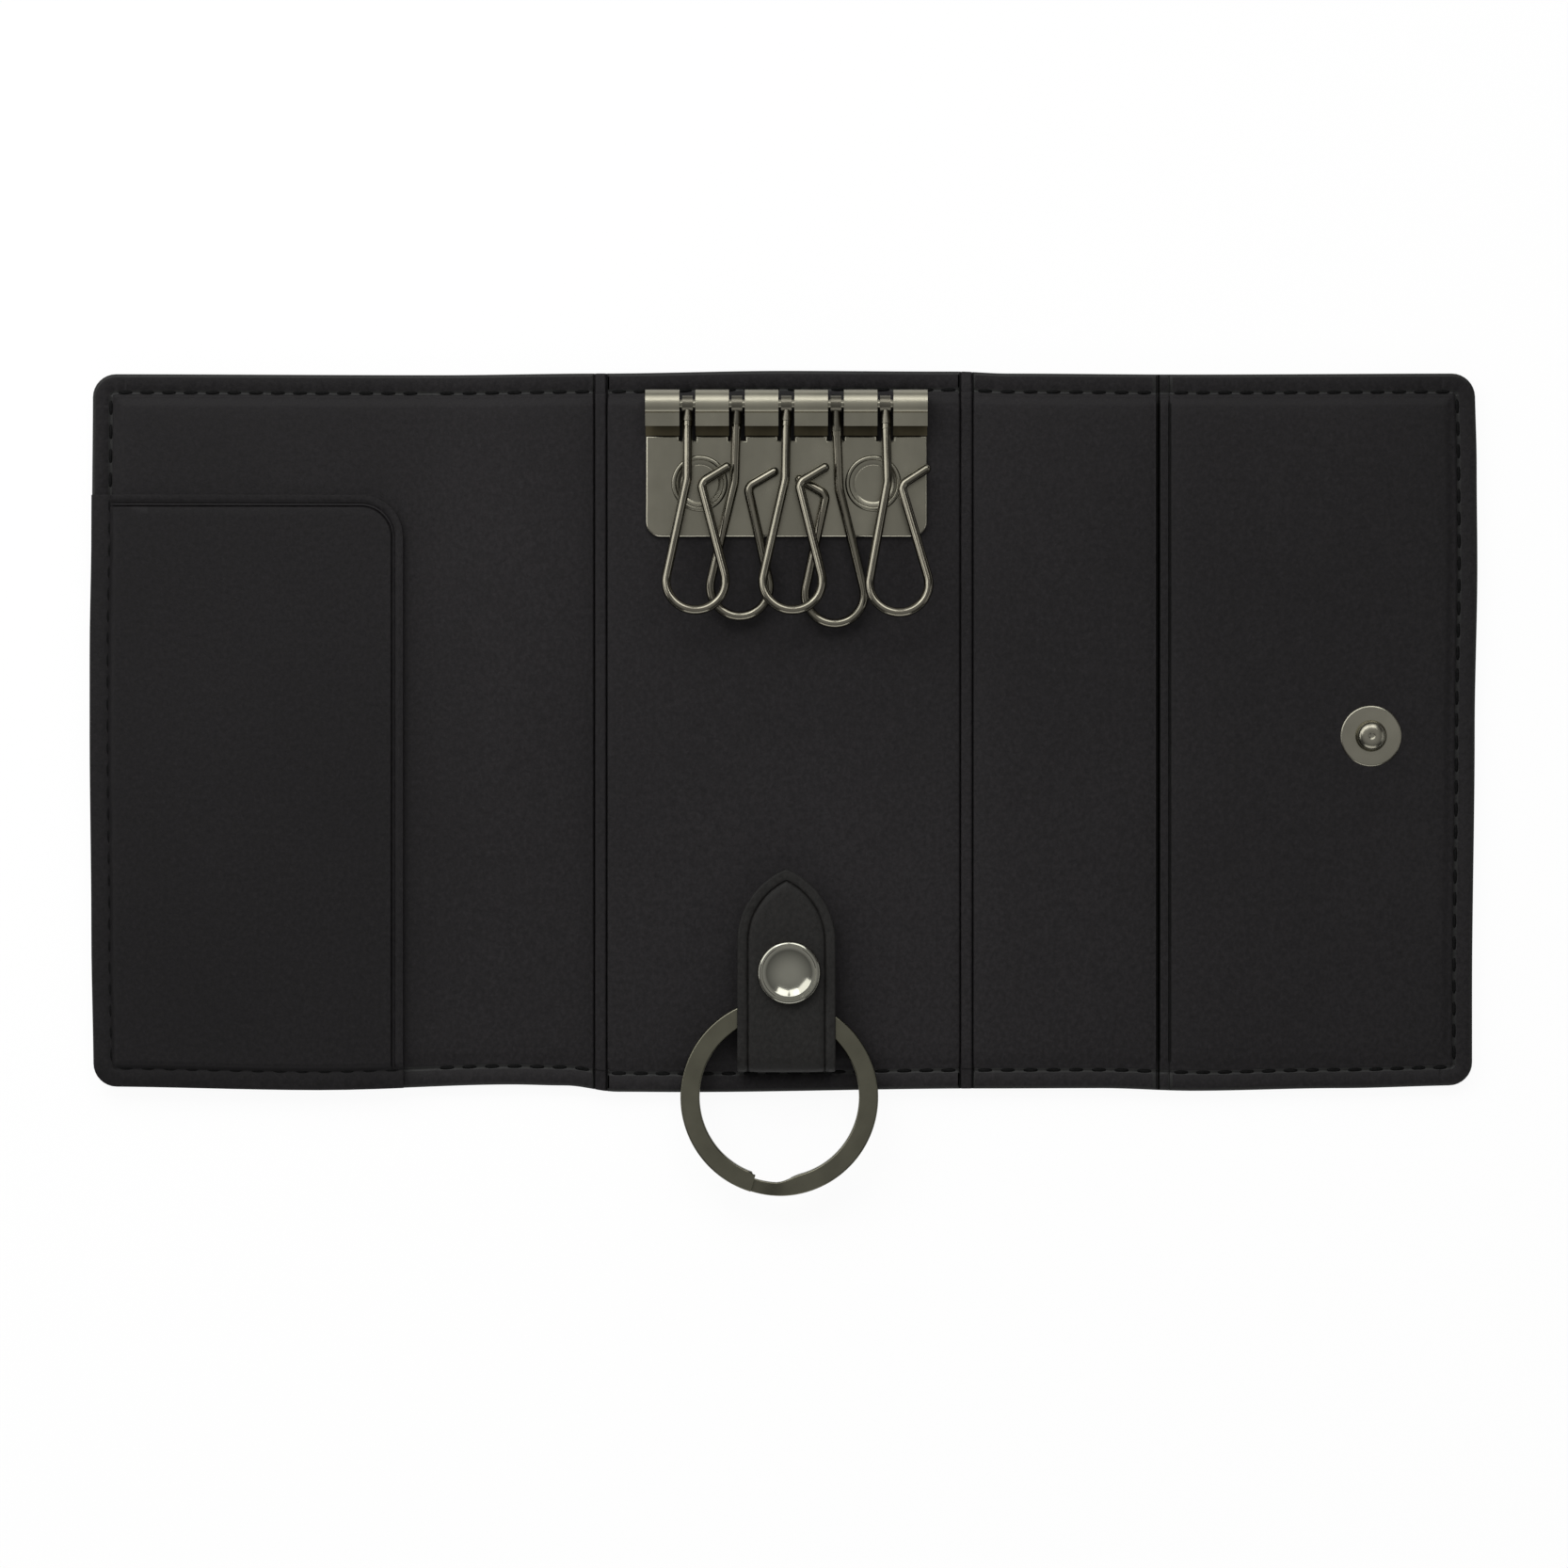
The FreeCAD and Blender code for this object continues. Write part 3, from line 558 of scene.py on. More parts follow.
def makeBlank(name, z0, z1, facing, look):
    obj = addBlock(name, (caseLow[0], caseLow[1], z0), (caseHigh[0], caseHigh[1], z1))
    edit(obj)
    pick("EDGE", lambda e: abs(e.verts[0].co.z - e.verts[1].co.z) > slack * mm)
    bevelPicked(case["corner"], case["cornerSteps"])
    bevelRim(lambda f: f.normal.z * facing < -level, case["glueLine"], 2)  # a fine line round the rim
    bevelRim(lambda f: f.normal.z * facing > level, look["edgeRound"], 4)
    pick("FACE", lambda f: f.normal.z * facing > level and f.calc_area() > 0.01)  # the one large face
    insetRows(look["rows"])
    for axis in (0, 1):  # a loose grid, so that the skin can be shaped
        low, high = caseLow[axis] + case["corner"], caseHigh[axis] - case["corner"]
        sliceEvenly(axis, low, high, int((high - low) / look["slice"]), 0)
    for axis in (0, 1):  # finer along the seams, for the pucker round each stitch
        edge = (caseHigh[1 - axis] - case["corner"]) * mm
        pick("EDGE", lambda e: abs(e.verts[0].co[axis] - e.verts[1].co[axis]) > 2 * mm
             and all(abs(v.co[1 - axis]) > edge for v in e.verts))
        bpy.ops.mesh.subdivide(number_cuts=look["seamCuts"])
    leaveEdit()
    return obj


def cutOut(blank, name, x0, x1):
    obj = copyOf(blank, name)
    edit(obj)
    if x0 > caseLow[0] + slack:
        slicePlane(0, x0, use_fill=True, clear_inner=True)
    if x1 < caseHigh[0] - slack:
        slicePlane(0, x1, use_fill=True, clear_outer=True)
    return obj


def foldSlices(fold):
    sliceEvenly(0, *foldEnds[fold], case["foldSlices"], 0)


lining = dict(
    edgeRound=0.5, slice=3.3, seamCuts=3, puckerDepth=0.09, puckerZ=(1.5, 1.75),
    rows=[(1.95, 0.0), (0.2, -0.17), (0.3, 0.0), (0.15, 0.17), (0.2, 0.16)],
    slope=(3.3, 5.0), slopeCuts=(3.75, 4.2, 4.6, 5.0), slopeMargin=0.1,
    crown=0.28, crownFrom=2.2, crownEnd=3.2,
    grooveEdge=0.28, grooveGap=0.08, grooveFrom=1.55, borderZ=1.79, borderTilt=0.6,
)
liningBlank = makeBlank("liningBlank", outerTop, case["borderTop"], 1, lining)


def insetOf(x, y):  # distance in from the outline
    radius = case["corner"]
    across, along = abs(x) - caseHigh[0] + radius, abs(y) - caseHigh[1] + radius
    return radius - math.hypot(max(across, 0), max(along, 0)) - min(max(across, along), 0)


def raiseField(x, y, z):  # from the stitches the lining climbs over the edge of its board
    if z < case["borderTop"] + lining["slopeMargin"]:
        return x, y, z
    return x, y, z + (liningTop - z) * easeIn(insetOf(x, y), *lining["slope"])


edit(liningBlank)
for inset in lining["slopeCuts"]:
    for axis in (0, 1):
        slicePlane(axis, caseLow[axis] + inset)
        slicePlane(axis, caseHigh[axis] - inset)
leaveEdit()
moveVerts(liningBlank, raiseField)


def crownAt(x, y):  # the lining swells a little over its board
    for side in sides:
        (x0, y0, _), (x1, y1, _) = panelSpan[side]
        if x0 <= x <= x1:
            across, along = 2 * (x - x0) / (x1 - x0) - 1, y / (y1 - lining["crownEnd"])
            return max(0, 1 - across ** 4) * max(0, 1 - abs(along) ** 8)
    return 0.0


def shapeLining(x, y, z):
    if z > lining["crownFrom"]:
        z += lining["crown"] * crownAt(x, y)
    elif lining["puckerZ"][0] < z < lining["puckerZ"][1]:
        z -= lining["puckerDepth"] * pucker(x, y)  # pressed down under each stitch
    return uneven(x, y, z)


def roundCutEdge(x, offset):  # softens the lining's edge beside a groove
    pickEnds(lambda co: abs(co.x - x * mm) < near and co.z > lining["grooveFrom"] * mm)
    bevelPicked(offset, 3)


crease = {  # on the fold's left and right: distance from its middle, and depth
    -1: [(1.6, 0.0), (1.3, 0.06), (1.0, 0.25), (0.8, 0.75), (0.62, 0.75), (0.48, 0.1), (0.25, 0.0)],
    1: [(1.45, 0.0), (1.25, 0.06), (1.1, 0.28), (0.98, 0.28), (0.8, 0.1), (0.5, 0.02), (0.25, 0.0)],
}
creaseBands = [(2.2, 9.0, 1.0), (1.55, 2.2, 0.5)]  # heights and share of the depth, less in the border


def creaseRows(axis):  # a deep and a shallow groove, with a bead between
    for side, profile in crease.items():
        for offset, _ in profile:
            slicePlane(0, axis + side * offset)
    for side, profile in crease.items():
        for offset, drop in profile:
            if not drop:
                continue
            place = (axis + side * offset) * mm
            for low, high, share in creaseBands:
                pick("VERT", lambda v: abs(v.co.x - place) < 2 * near and low * mm < v.co.z < high * mm)
                bpy.ops.transform.translate(value=(0, 0, -drop * share * mm))


def makeLiningPiece(name, x0, x1, cutSides, fold=None, creased=False):
    obj = cutOut(liningBlank, name, x0, x1)
    if fold:
        foldSlices(fold)
    if creased:
        creaseRows(foldAxis[fold])
    for x in cutSides:
        roundCutEdge(x, lining["grooveEdge"])
    leaveEdit()
    moveVerts(obj, shapeLining)
    obj.data.materials.append(liningLeather)
    paintFaces(obj, borderLeather,
               lambda f: midOf(f).z < lining["borderZ"] or f.normal.z < lining["borderTilt"])
    smooth(obj)
    return obj


gap = lining["grooveGap"]
leftGroove, rightGroove = foldEnds["left_fold"], foldEnds["right_fold"]
leftEnd, rightEnd = leftGroove[0] + gap, rightGroove[1] - gap
centreEnds = [leftGroove[1] - gap, rightGroove[0] + gap]
leftLining = makeLiningPiece("leftLining", caseLow[0], leftEnd, [leftEnd], "left_flap_fold")
centreLining = makeLiningPiece("centreLining", *centreEnds, centreEnds)
rightLining = makeLiningPiece("rightLining", rightEnd, caseHigh[0], [rightEnd], "right_flap_fold", True)
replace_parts(leftLining, "left_flap_lining", "left_flap_fold_lining", "left_side_lining")
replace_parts(centreLining, "centre_lining")
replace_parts(rightLining, "right_side_lining", "right_flap_fold_lining", "right_flap_lining")
print("lining cut and shaped")

bead = dict(
    halfWidth=0.86, top=2.3, round=0.3, slices=8, crossSlices=40,
    endLength=3.0, endRound=0.25, tipRound=0.3, tipFrom=1.5,
)


def makeBead(name, fold):  # the narrow rib of lining between two grooves
    axis, half = foldAxis[fold], bead["halfWidth"]
    end = caseHigh[1] - bead["endLength"]
    rise = (bead["top"] - case["borderTop"]) * mm
    obj = addBlock(name, (axis - half, caseLow[1], outerTop), (axis + half, caseHigh[1], case["borderTop"]))
    edit(obj)
    for y in (-end, end):
        slicePlane(1, y)
    pick("FACE", lambda f: f.normal.z > level and abs(midOf(f).y) < 1)
    bpy.ops.mesh.extrude_region_move(TRANSFORM_OT_translate={"value": (0, 0, rise)})
    pickEnds(lambda co: co.z > (bead["top"] - slack) * mm)
    bevelPicked(bead["round"], 4)
    pick("EDGE", lambda e: all(abs(v.co.z - case["borderTop"] * mm) < near and abs(v.co.y) > end * mm - near
                               for v in e.verts) and abs(e.verts[0].co.y - e.verts[1].co.y) > mm)
    bevelPicked(bead["endRound"], 3)
    pickEnds(lambda co: abs(abs(co.y) - caseHigh[1] * mm) < near and co.z > bead["tipFrom"] * mm)
    bevelPicked(bead["tipRound"], 3)
    sliceEvenly(0, axis - half, axis + half, bead["slices"])
    sliceEvenly(1, caseLow[1], caseHigh[1], bead["crossSlices"])
    leaveEdit()
    moveVerts(obj, uneven)
    coat(obj, liningLeather)
    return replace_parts(obj, fold + "_lining")


leftBead = makeBead("leftFoldBead", "left_fold")
rightBead = makeBead("rightFoldBead", "right_fold")

outer = dict(
    edgeRound=0.45, slice=6.6, seamCuts=7, socketHole=3.35, punchSides=48, punchLength=6,
    rows=[(2.0, 0.0), (0.25, -0.1), (0.2, 0.0), (0.25, 0.1)],
)
outerBlank = makeBlank("outerBlank", backZ, outerTop, -1, outer)


def makeOuterPiece(name, x0, x1, fold=None):
    obj = cutOut(outerBlank, name, x0, x1)
    if fold:
        foldSlices(fold)
    leaveEdit()
    moveVerts(obj, uneven)
    coat(obj, outerLeather)
    return obj


def punchHole(obj, node, radius):  # a round hole where a fitting goes through
    x, y = middleOf(*spanOf(node))
    half = outer["punchLength"] / 2
    punch = addDisc("punch", x, y, -half, half, radius, outer["punchSides"])
    applyModifier(obj, "BOOLEAN", object=punch, operation="DIFFERENCE", solver="EXACT")
    bpy.data.objects.remove(punch)
    smooth(obj)


leftOuter = makeOuterPiece("leftOuter", caseLow[0], leftGroove[0], "left_flap_fold")
punchHole(leftOuter, "snap_socket", outer["socketHole"])
leftStrip = makeOuterPiece("leftFoldStrip", *leftGroove, "left_fold")
centreOuter = makeOuterPiece("centreOuter", leftGroove[1], rightGroove[0])
rightStrip = makeOuterPiece("rightFoldStrip", *rightGroove, "right_fold")
rightOuter = makeOuterPiece("rightOuter", rightGroove[1], caseHigh[0], "right_flap_fold")
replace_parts(leftOuter, "left_flap_outer_leather", "left_flap_fold_outer", "left_side_outer_leather")
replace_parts(leftStrip, "left_fold_outer")
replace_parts(centreOuter, "centre_outer_leather")
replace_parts(rightStrip, "right_fold_outer")
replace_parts(rightOuter, "right_side_outer_leather", "right_flap_fold_outer", "right_flap_outer_leather")
for blank in (liningBlank, outerBlank):
    bpy.data.objects.remove(blank)
print("outer leather cut")

# stitching

def makeStitch(name):  # one stitch along X, a plump thread whose ends dip into the leather
    half = thread["length"] / 2
    obj = addDisc(name, 0, 0, -half, half, thread["radius"], thread["sides"], math.pi / 2)
    edit(obj)
    sliceEvenly(0, -half, half, thread["rings"])
    leaveEdit()

    def plump(x, y, z):
        share = abs(x / half)
        thin = 1 - thread["taper"] * share ** 3
        return x, y * thin, z * thin - thread["dip"] * share ** 4

    moveVerts(obj, plump)
    return obj


stitchModel = makeStitch("stitchModel")


def sewRow(row, below):
    obj = copyOf(stitchModel, "stitchRow")
    (x0, y0), (wayX, wayY) = row["start"], row["way"]
    step = row["run"] / row["count"]
    applyModifier(obj, "ARRAY", count=row["count"], use_relative_offset=False, use_constant_offset=True,
                  constant_offset_displace=(step * mm, 0, 0))

    def lay(x, y, z):
        x += step / 2
        height = backZ + thread["backSink"] - z if below else row["z"] - thread["sink"] + z
        side = -y if below else y
        return uneven(x0 + wayX * x - wayY * side, y0 + wayY * x + wayX * side, height)

    moveVerts(obj, lay)
    return obj


for side in sides:
    rows = [sewRow(row, below) for below in (False, True) for row in seams[side]]
    stitches = joined(rows, side.replace("_s", "S").replace("_f", "F") + "Stitches")
    coat(stitches, waxedThread, 60)
    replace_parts(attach(stitches, side), side + "_thread")
bpy.data.objects.remove(stitchModel)
print("stitched")

# slip pocket

pocket = dict(
    thickness=0.9, freeCorner=6.4, freeSteps=14, spare=16.0, slice=4.0, edgeRound=0.3,
    creases=[(0.3, 0.0), (0.3, 0.0), (0.5, -0.06), (0.16, -0.24), (0.14, 0.16), (0.14, 0.0),
                (0.16, -0.24), (0.2, 0.36), (1.2, 0.02)],
    creaseEnd=(2.7, 3.5),  # the creases stop at the seam
    drops=[(0.0, 1.15), (0.15, 0.95), (0.4, 0.83), (2.3, 0.8), (2.6, 0.86), (2.8, 0.9), (3.0, 0.72),
              (3.25, 0.35), (3.5, 0.12), (3.9, 0.0), (200, 0.0)],  # in from the sewn edges
)


def sewnDistance(x, y, low):  # distance from the two sewn edges, round their corner
    across, along, radius = x - low[0], y - low[1], case["corner"]
    if across < radius and along < radius:
        return radius - math.hypot(radius - across, radius - along)
    return min(across, along)


def makePocket():
    low, high = spanOf("pocket_panel")
    spare, drops = pocket["spare"], pocket["drops"]
    place = ((low[0] - spare + high[0]) / 2, (low[1] - spare + high[1]) / 2, high[2])
    obj = addSheet("slipPocket", place, high[0] - low[0] + spare, high[1] - low[1] + spare)
    edit(obj)
    pick("VERT", lambda v: v.co.x > (high[0] - 1) * mm and v.co.y > (high[1] - 1) * mm)
    bevelPicked(pocket["freeCorner"], pocket["freeSteps"], "VERTICES")
    bpy.ops.mesh.select_mode(type="FACE")
    selectAll()
    insetRows(pocket["creases"])
    slicePlane(0, low[0], clear_inner=True)
    slicePlane(1, low[1], clear_inner=True)
    pick("VERT", lambda v: v.co.x < (low[0] + slack) * mm and v.co.y < (low[1] + slack) * mm)
    bevelPicked(case["corner"], case["cornerSteps"], "VERTICES")
    for inset, _ in drops[1:-1]:
        slicePlane(0, low[0] + inset)
        slicePlane(1, low[1] + inset)
    for axis in (0, 1):
        sliceEvenly(axis, low[axis], high[axis], int((high[axis] - low[axis]) / pocket["slice"]))
    leaveEdit()

    def drape(x, y, z):
        inset = sewnDistance(x, y, low)
        z += (high[2] - z) * (1 - easeIn(inset, *pocket["creaseEnd"]))
        for (d0, h0), (d1, h1) in zip(drops, drops[1:]):
            if inset <= d1:
                z -= h0 + (h1 - h0) * (inset - d0) / (d1 - d0) if inset > d0 else h0
                break
        return uneven(x, y, z)

    moveVerts(obj, drape)
    applyModifier(obj, "SOLIDIFY", thickness=pocket["thickness"] * mm, offset=-1.0, use_even_offset=True)
    roundEdges(obj, pocket["edgeRound"], 3, 60)
    coat(obj, pocketLeather)
    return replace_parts(obj, "pocket_panel")


slipPocket = makePocket()
print("pocket drawn")

# strap

strap = dict(
    thickness=1.0, pointLength=10.95, pointRows=24, frontRows=10, foldRows=18, backRows=6,
    edgeRound=0.22,
    # distance from the edge and height, with a creased line near the edge
    profile=[(0.0, -0.05), (0.3, -0.02), (0.9, 0.0), (1.3, -0.04), (1.44, -0.14), (1.6, -0.4),
                (1.76, -0.14), (1.9, -0.02), (2.8, 0.02), (5.0, 0.04), (7.0, 0.05)],
)


def makeStrap():
    frontLow, frontHigh = spanOf("strap_front")
    backLow, backHigh = spanOf("strap_back")
    middleX, half = (frontLow[0] + frontHigh[0]) / 2, (frontHigh[0] - frontLow[0]) / 2
    foldY, foldZ = frontLow[1], (frontHigh[2] + backLow[2]) / 2
    frontLength, backLength = frontHigh[1] - foldY, backHigh[1] - foldY
    midRadius = (frontHigh[2] - backLow[2] - strap["thickness"]) / 2
    arc = math.pi * midRadius
    point, profile = strap["pointLength"], strap["profile"]
    radius = (half ** 2 + point ** 2) / (2 * half)
    columns = [(-1, inset) for inset, _ in profile] + [(1, inset) for inset, _ in reversed(profile)]
    rows = [("point", 1 - index / strap["pointRows"]) for index in range(strap["pointRows"])]
    for count, start, length in ((strap["frontRows"], point, frontLength - point),
                                 (strap["foldRows"], frontLength, arc),
                                 (strap["backRows"] + 1, frontLength + arc, backLength)):
        rows += [("run", start + length * index / count) for index in range(count)]
    deselectAll()
    bpy.ops.mesh.primitive_grid_add(x_subdivisions=len(columns) - 1, y_subdivisions=len(rows) - 1, size=mm)
    obj = settle("strap")

    def lay(x, y, z):  # flat: nested arcs at the tip, so the crease keeps its distance from the edge
        side, inset = columns[round((x + 0.5) * (len(columns) - 1))]
        kind, value = rows[round((y + 0.5) * (len(rows) - 1))]
        if kind == "run":
            return side * (half - inset), value, 0
        inner = radius - inset
        turn = value * math.acos((radius - half) / inner)
        return side * (inner * math.cos(turn) - radius + half), point - inner * math.sin(turn), 0

    def wrap(x, y, z):  # along the front, fold and back, with the outer face creased
        inset = half - abs(x) if y > point else radius - math.hypot(abs(x) + radius - half, point - y)
        reach = midRadius + z + (alongCurve(profile, inset) if z > 0 else 0)
        if y <= frontLength:
            return middleX + x, foldY + frontLength - y, foldZ + reach
        if y <= frontLength + arc:
            turn = (y - frontLength) / midRadius
            return middleX + x, foldY - reach * math.sin(turn), foldZ + reach * math.cos(turn)
        return middleX + x, foldY + y - frontLength - arc, foldZ - reach

    moveVerts(obj, lay)
    edit(obj)
    mergePoints()
    faceOut()
    leaveEdit()
    applyModifier(obj, "SOLIDIFY", thickness=strap["thickness"] * mm, offset=0.0)
    roundEdges(obj, strap["edgeRound"], 3, 60)
    moveVerts(obj, wrap)
    edit(obj)
    faceOut()
    leaveEdit()
    coat(obj, strapLeather)
    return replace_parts(obj, "strap_front", "strap_fold", "strap_back")


strapPiece = makeStrap()
print("strap folded")

# metal

finishes = dict(
    plate=plateMetal, wire=wireMetal, ring=ringMetal, stud=studMetal, spring=springSteel,
    board=stiffBoard,
)
nodeWords = dict(  # a node gets the first finish that has a word of its name, or else the plate's
    board=["_board"], spring=["_spring"], wire=["key_hook"], ring=["split_ring"],
    stud=["snap_", "strap_cap", "strap_socket", "strap_stud"],
)
bodyOf = {node: body for body, nodes in frame["record"]["behaviour"]["bodies"].items() for node in nodes}


def finishOf(node):
    for kind, words in nodeWords.items():
        if any(word in node for word in words):
            return kind
    return "plate"


for name, obj in frame["nodes"].items():
    for slot in obj.material_slots:
        slot.material = finishes[finishOf(name)]


def addMetal(obj, node, material=None):
    kind = finishOf(node)
    obj.data.materials.clear()
    obj.data.materials.append(material or finishes[kind])
    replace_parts(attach(obj, bodyOf[node]), node)


def smoothCopy(node, name, degrees=32):  # a merged copy of a node, so that its round faces shade smoothly
    obj = copyOf(frame["nodes"][node], name)
    edit(obj)
    mergePoints()
    bpy.ops.mesh.customdata_custom_splitnormals_clear()
    leaveEdit()
    smooth(obj, degrees)
    return obj


def evenShade(obj):  # flat faces stay flat beside their rounded edges
    applyModifier(obj, "WEIGHTED_NORMAL", mode="FACE_AREA", weight=50, keep_sharp=True)


plate = dict(
    thickness=1.0, length=15.3, edgeRound=0.35, corner=2.3, cornerSteps=10, notch=0.7,
    slot=2.4, slots=5, pitch=7.45, rollRadius=2.2, rollSides=96, rollEdge=0.12,
    footUnder=0.1, footTop=0.7, tailReach=3.4, tailTop=1.7, tailThickness=0.9,
    seamWidth=0.2, recessRise=0.3, edgeHighlightTilt=(0.35, 0.93),  # where the painted shade and the painted highlights start
)
tang = dict(width=0.8, ringRadius=1.42)
pinLow, pinHigh = spanOf("hook_pin")
pinPlace = Vector(((pinLow[1] + pinHigh[1]) / 2, (pinLow[2] + pinHigh[2]) / 2))


def makeTang(node, name):  # the ring on the pin is narrower than its slot
    middleX, _ = middleOf(*spanOf(node))

    def narrow(x, y, z):
        onRing = (Vector((y, z)) - pinPlace).length < tang["ringRadius"]
        return middleX + (x - middleX) * (tang["width"] if onRing else 1), y, z

    obj = smoothCopy(node, name)
    moveVerts(obj, narrow)
    addMetal(obj, node, tangMetal)


for index in range(1, plate["slots"] + 1):
    addMetal(smoothCopy(f"key_hook_{index}", f"wireHook{index}"), f"key_hook_{index}")
    makeTang(f"swivel_tang_{index}", f"swivelTang{index}")
for node, name in (("hook_pin", "hookPin"), ("snap_cap", "closureCap"), ("snap_socket", "closureSocket")):
    addMetal(smoothCopy(node, name), node)

ring = dict(
    band=2.9, coil=1.15, edgeRound=0.28, stepsPerTurn=120, thinBy=0.85,
    jogStart=253.0, jogEnd=277.0, gap=1, pinchBefore=10, pinchAfter=8,  # degrees
)


def makeCoil(centre, radius, z, start, sweep):  # a flat band swept round, with closed ends
    middle = radius - ring["band"] / 2
    obj = addSheet("ringCoil", (centre.x + middle, centre.y, z), ring["band"], ring["coil"], math.pi / 2)
    edit(obj)
    pick("VERT", lambda v: True)
    bevelPicked(ring["edgeRound"], 4, "VERTICES")
    selectAll()
    bpy.ops.mesh.delete(type="ONLY_FACE")
    selectAll()
    bpy.ops.mesh.spin(steps=round(ring["stepsPerTurn"] * sweep / 360), angle=math.radians(sweep),
                      axis=(0, 0, -1), center=(centre.x * mm, centre.y * mm, 0))
    selectAll()
    bpy.ops.mesh.fill_holes(sides=0)
    faceOut()
    leaveEdit()

    def turn(x, y, z):  # to where the coil starts
        offset = Vector((x, y)) - centre
        angle = math.atan2(offset.y, offset.x) + math.radians(start)
        return centre.x + offset.length * math.cos(angle), centre.y + offset.length * math.sin(angle), z

    moveVerts(obj, turn)
    return obj


def makeRing():
    low, high = spanOf("split_ring")
    centre = Vector(middleOf(low, high))
    radius = (high[0] - low[0]) / 2
    half = ring["coil"] / 2
    jog = ring["jogEnd"] - ring["jogStart"]
    lower = makeCoil(centre, radius, low[2] + half, ring["jogEnd"] + ring["gap"], 360 - ring["gap"])
    upper = makeCoil(centre, radius, high[2] - half, ring["jogEnd"], 360 - jog)

    def past(x, y):  # degrees past the start of the step, and the offset from the middle
        offset = Vector((x, y)) - centre
        return (math.degrees(math.atan2(offset.y, offset.x)) - ring["jogStart"]) % 360, offset

    def climb(x, y, z):  # the lower coil rises to where the upper one starts
        along = past(x, y)[0]
        if along < jog + ring["gap"] / 2:
            z += (high[2] - low[2] - ring["coil"]) * easeIn(along, 0, jog)
        return x, y, z

    def pinch(x, y, z):  # its inner edge is pressed back at the step
        along, offset = past(x, y)
        inward = min(max((radius - offset.length) / ring["band"], 0), 1)
        share = (1 - easeIn(along, jog - ring["pinchBefore"], jog + ring["pinchAfter"])) * inward
        offset *= 1 + ring["thinBy"] * share / offset.length
        return centre.x + offset.x, centre.y + offset.y, z

    moveVerts(lower, climb)
    obj = joined([lower, upper], "splitRing")
    moveVerts(obj, pinch)
    smooth(obj, 40)
    evenShade(obj)
    addMetal(obj, "split_ring")


makeRing()


def turnTop(obj, edgeRound, rows):  # rounds the top edge, then steps in and up or down
    def isTop(f):
        return f.normal.z > level and len(f.verts) > 8

    edit(obj)
    bevelRim(isTop, edgeRound, 4)
    pick("FACE", isTop)
    insetRows(rows)
    leaveEdit()
    smooth(obj, 40)
    evenShade(obj)
    return obj


rivets = dict(
    edgeRound=0.3, recessTilt=0.72, recessDrop=0.06,
    rows=[(0.22, 0.0), (0.1, -0.04), (0.1, -0.18), (0.1, -0.02), (0.5, 0.0), (0.08, -0.05), (0.08, 0.0),
             (0.08, 0.05)],
)


def makeRivets():
    low, high = spanOf("plate_rivets")
    radius = (high[1] - low[1]) / 2
    plateTop = spanOf("key_plate")[0][2] + plate["thickness"]
    heads = []
    for x in (low[0] + radius, high[0] - radius):
        head = addDisc("rivetHead", x, (low[1] + high[1]) / 2, plateTop, high[2], radius)
        heads.append(turnTop(head, rivets["edgeRound"], rivets["rows"]))
    obj = joined(heads, "rivetHeads")
    addMetal(obj, "plate_rivets")
    # painted shade round each rivet's rim, on the faces that slope down below its top
    paintFaces(obj, paintedShadeMetal,
               lambda f: f.normal.z < rivets["recessTilt"] and midOf(f).z < high[2] - rivets["recessDrop"])


makeRivets()

capShape = dict(
    rim=1.45, edgeRound=0.45, aside=0.4,
    rows=[(0.12, 0.03), (0.1, -0.02), (0.08, -0.1), (0.1, 0.02)],  # a rolled rim
    dishRadius=9.0, dishSteps=[0.5, 0.5, 0.5, 0.5, 0.5, 0.5, 0.4, 0.3],
)


def makeCap():
    low, high = spanOf("strap_cap")
    radius = (high[0] - low[0]) / 2
    seat = spanOf("strap_front")[1][2]
    x, y = middleOf(low, high)
    cap = addDisc("strapCap", x + capShape["aside"], y, seat, seat + capShape["rim"], radius)
    rows = list(capShape["rows"])
    left = radius - capShape["edgeRound"] - sum(inset for inset, _ in rows)
    for step in capShape["dishSteps"]:  # the face is a shallow dish, part of a sphere
        rows.append((step, -step * math.tan(math.asin((left - step / 2) / capShape["dishRadius"]))))
        left -= step
    addMetal(turnTop(cap, capShape["edgeRound"], rows), "strap_cap", capMetal)


makeCap()

studShape = dict(
    flange=0.5, edgeRound=0.4,
    rows=[(1.89, 0.0), (0.12, -0.08), (0.1, -0.04), (0.02, 0.55), (-0.16, 0.3), (-0.06, 0.25),
             (0.1, 0.35), (0.25, 0.28), (0.4, 0.2), (0.5, 0.08), (0.4, 0.0), (0.1, -0.06), (0.1, -0.05)],
)


def makeStud():
    low, high = spanOf("snap_stud")
    radius = (high[0] - low[0]) / 2
    stud = addDisc("closureStud", *middleOf(low, high), low[2], low[2] + studShape["flange"], radius)
    addMetal(turnTop(stud, studShape["edgeRound"], studShape["rows"]), "snap_stud")


makeStud()


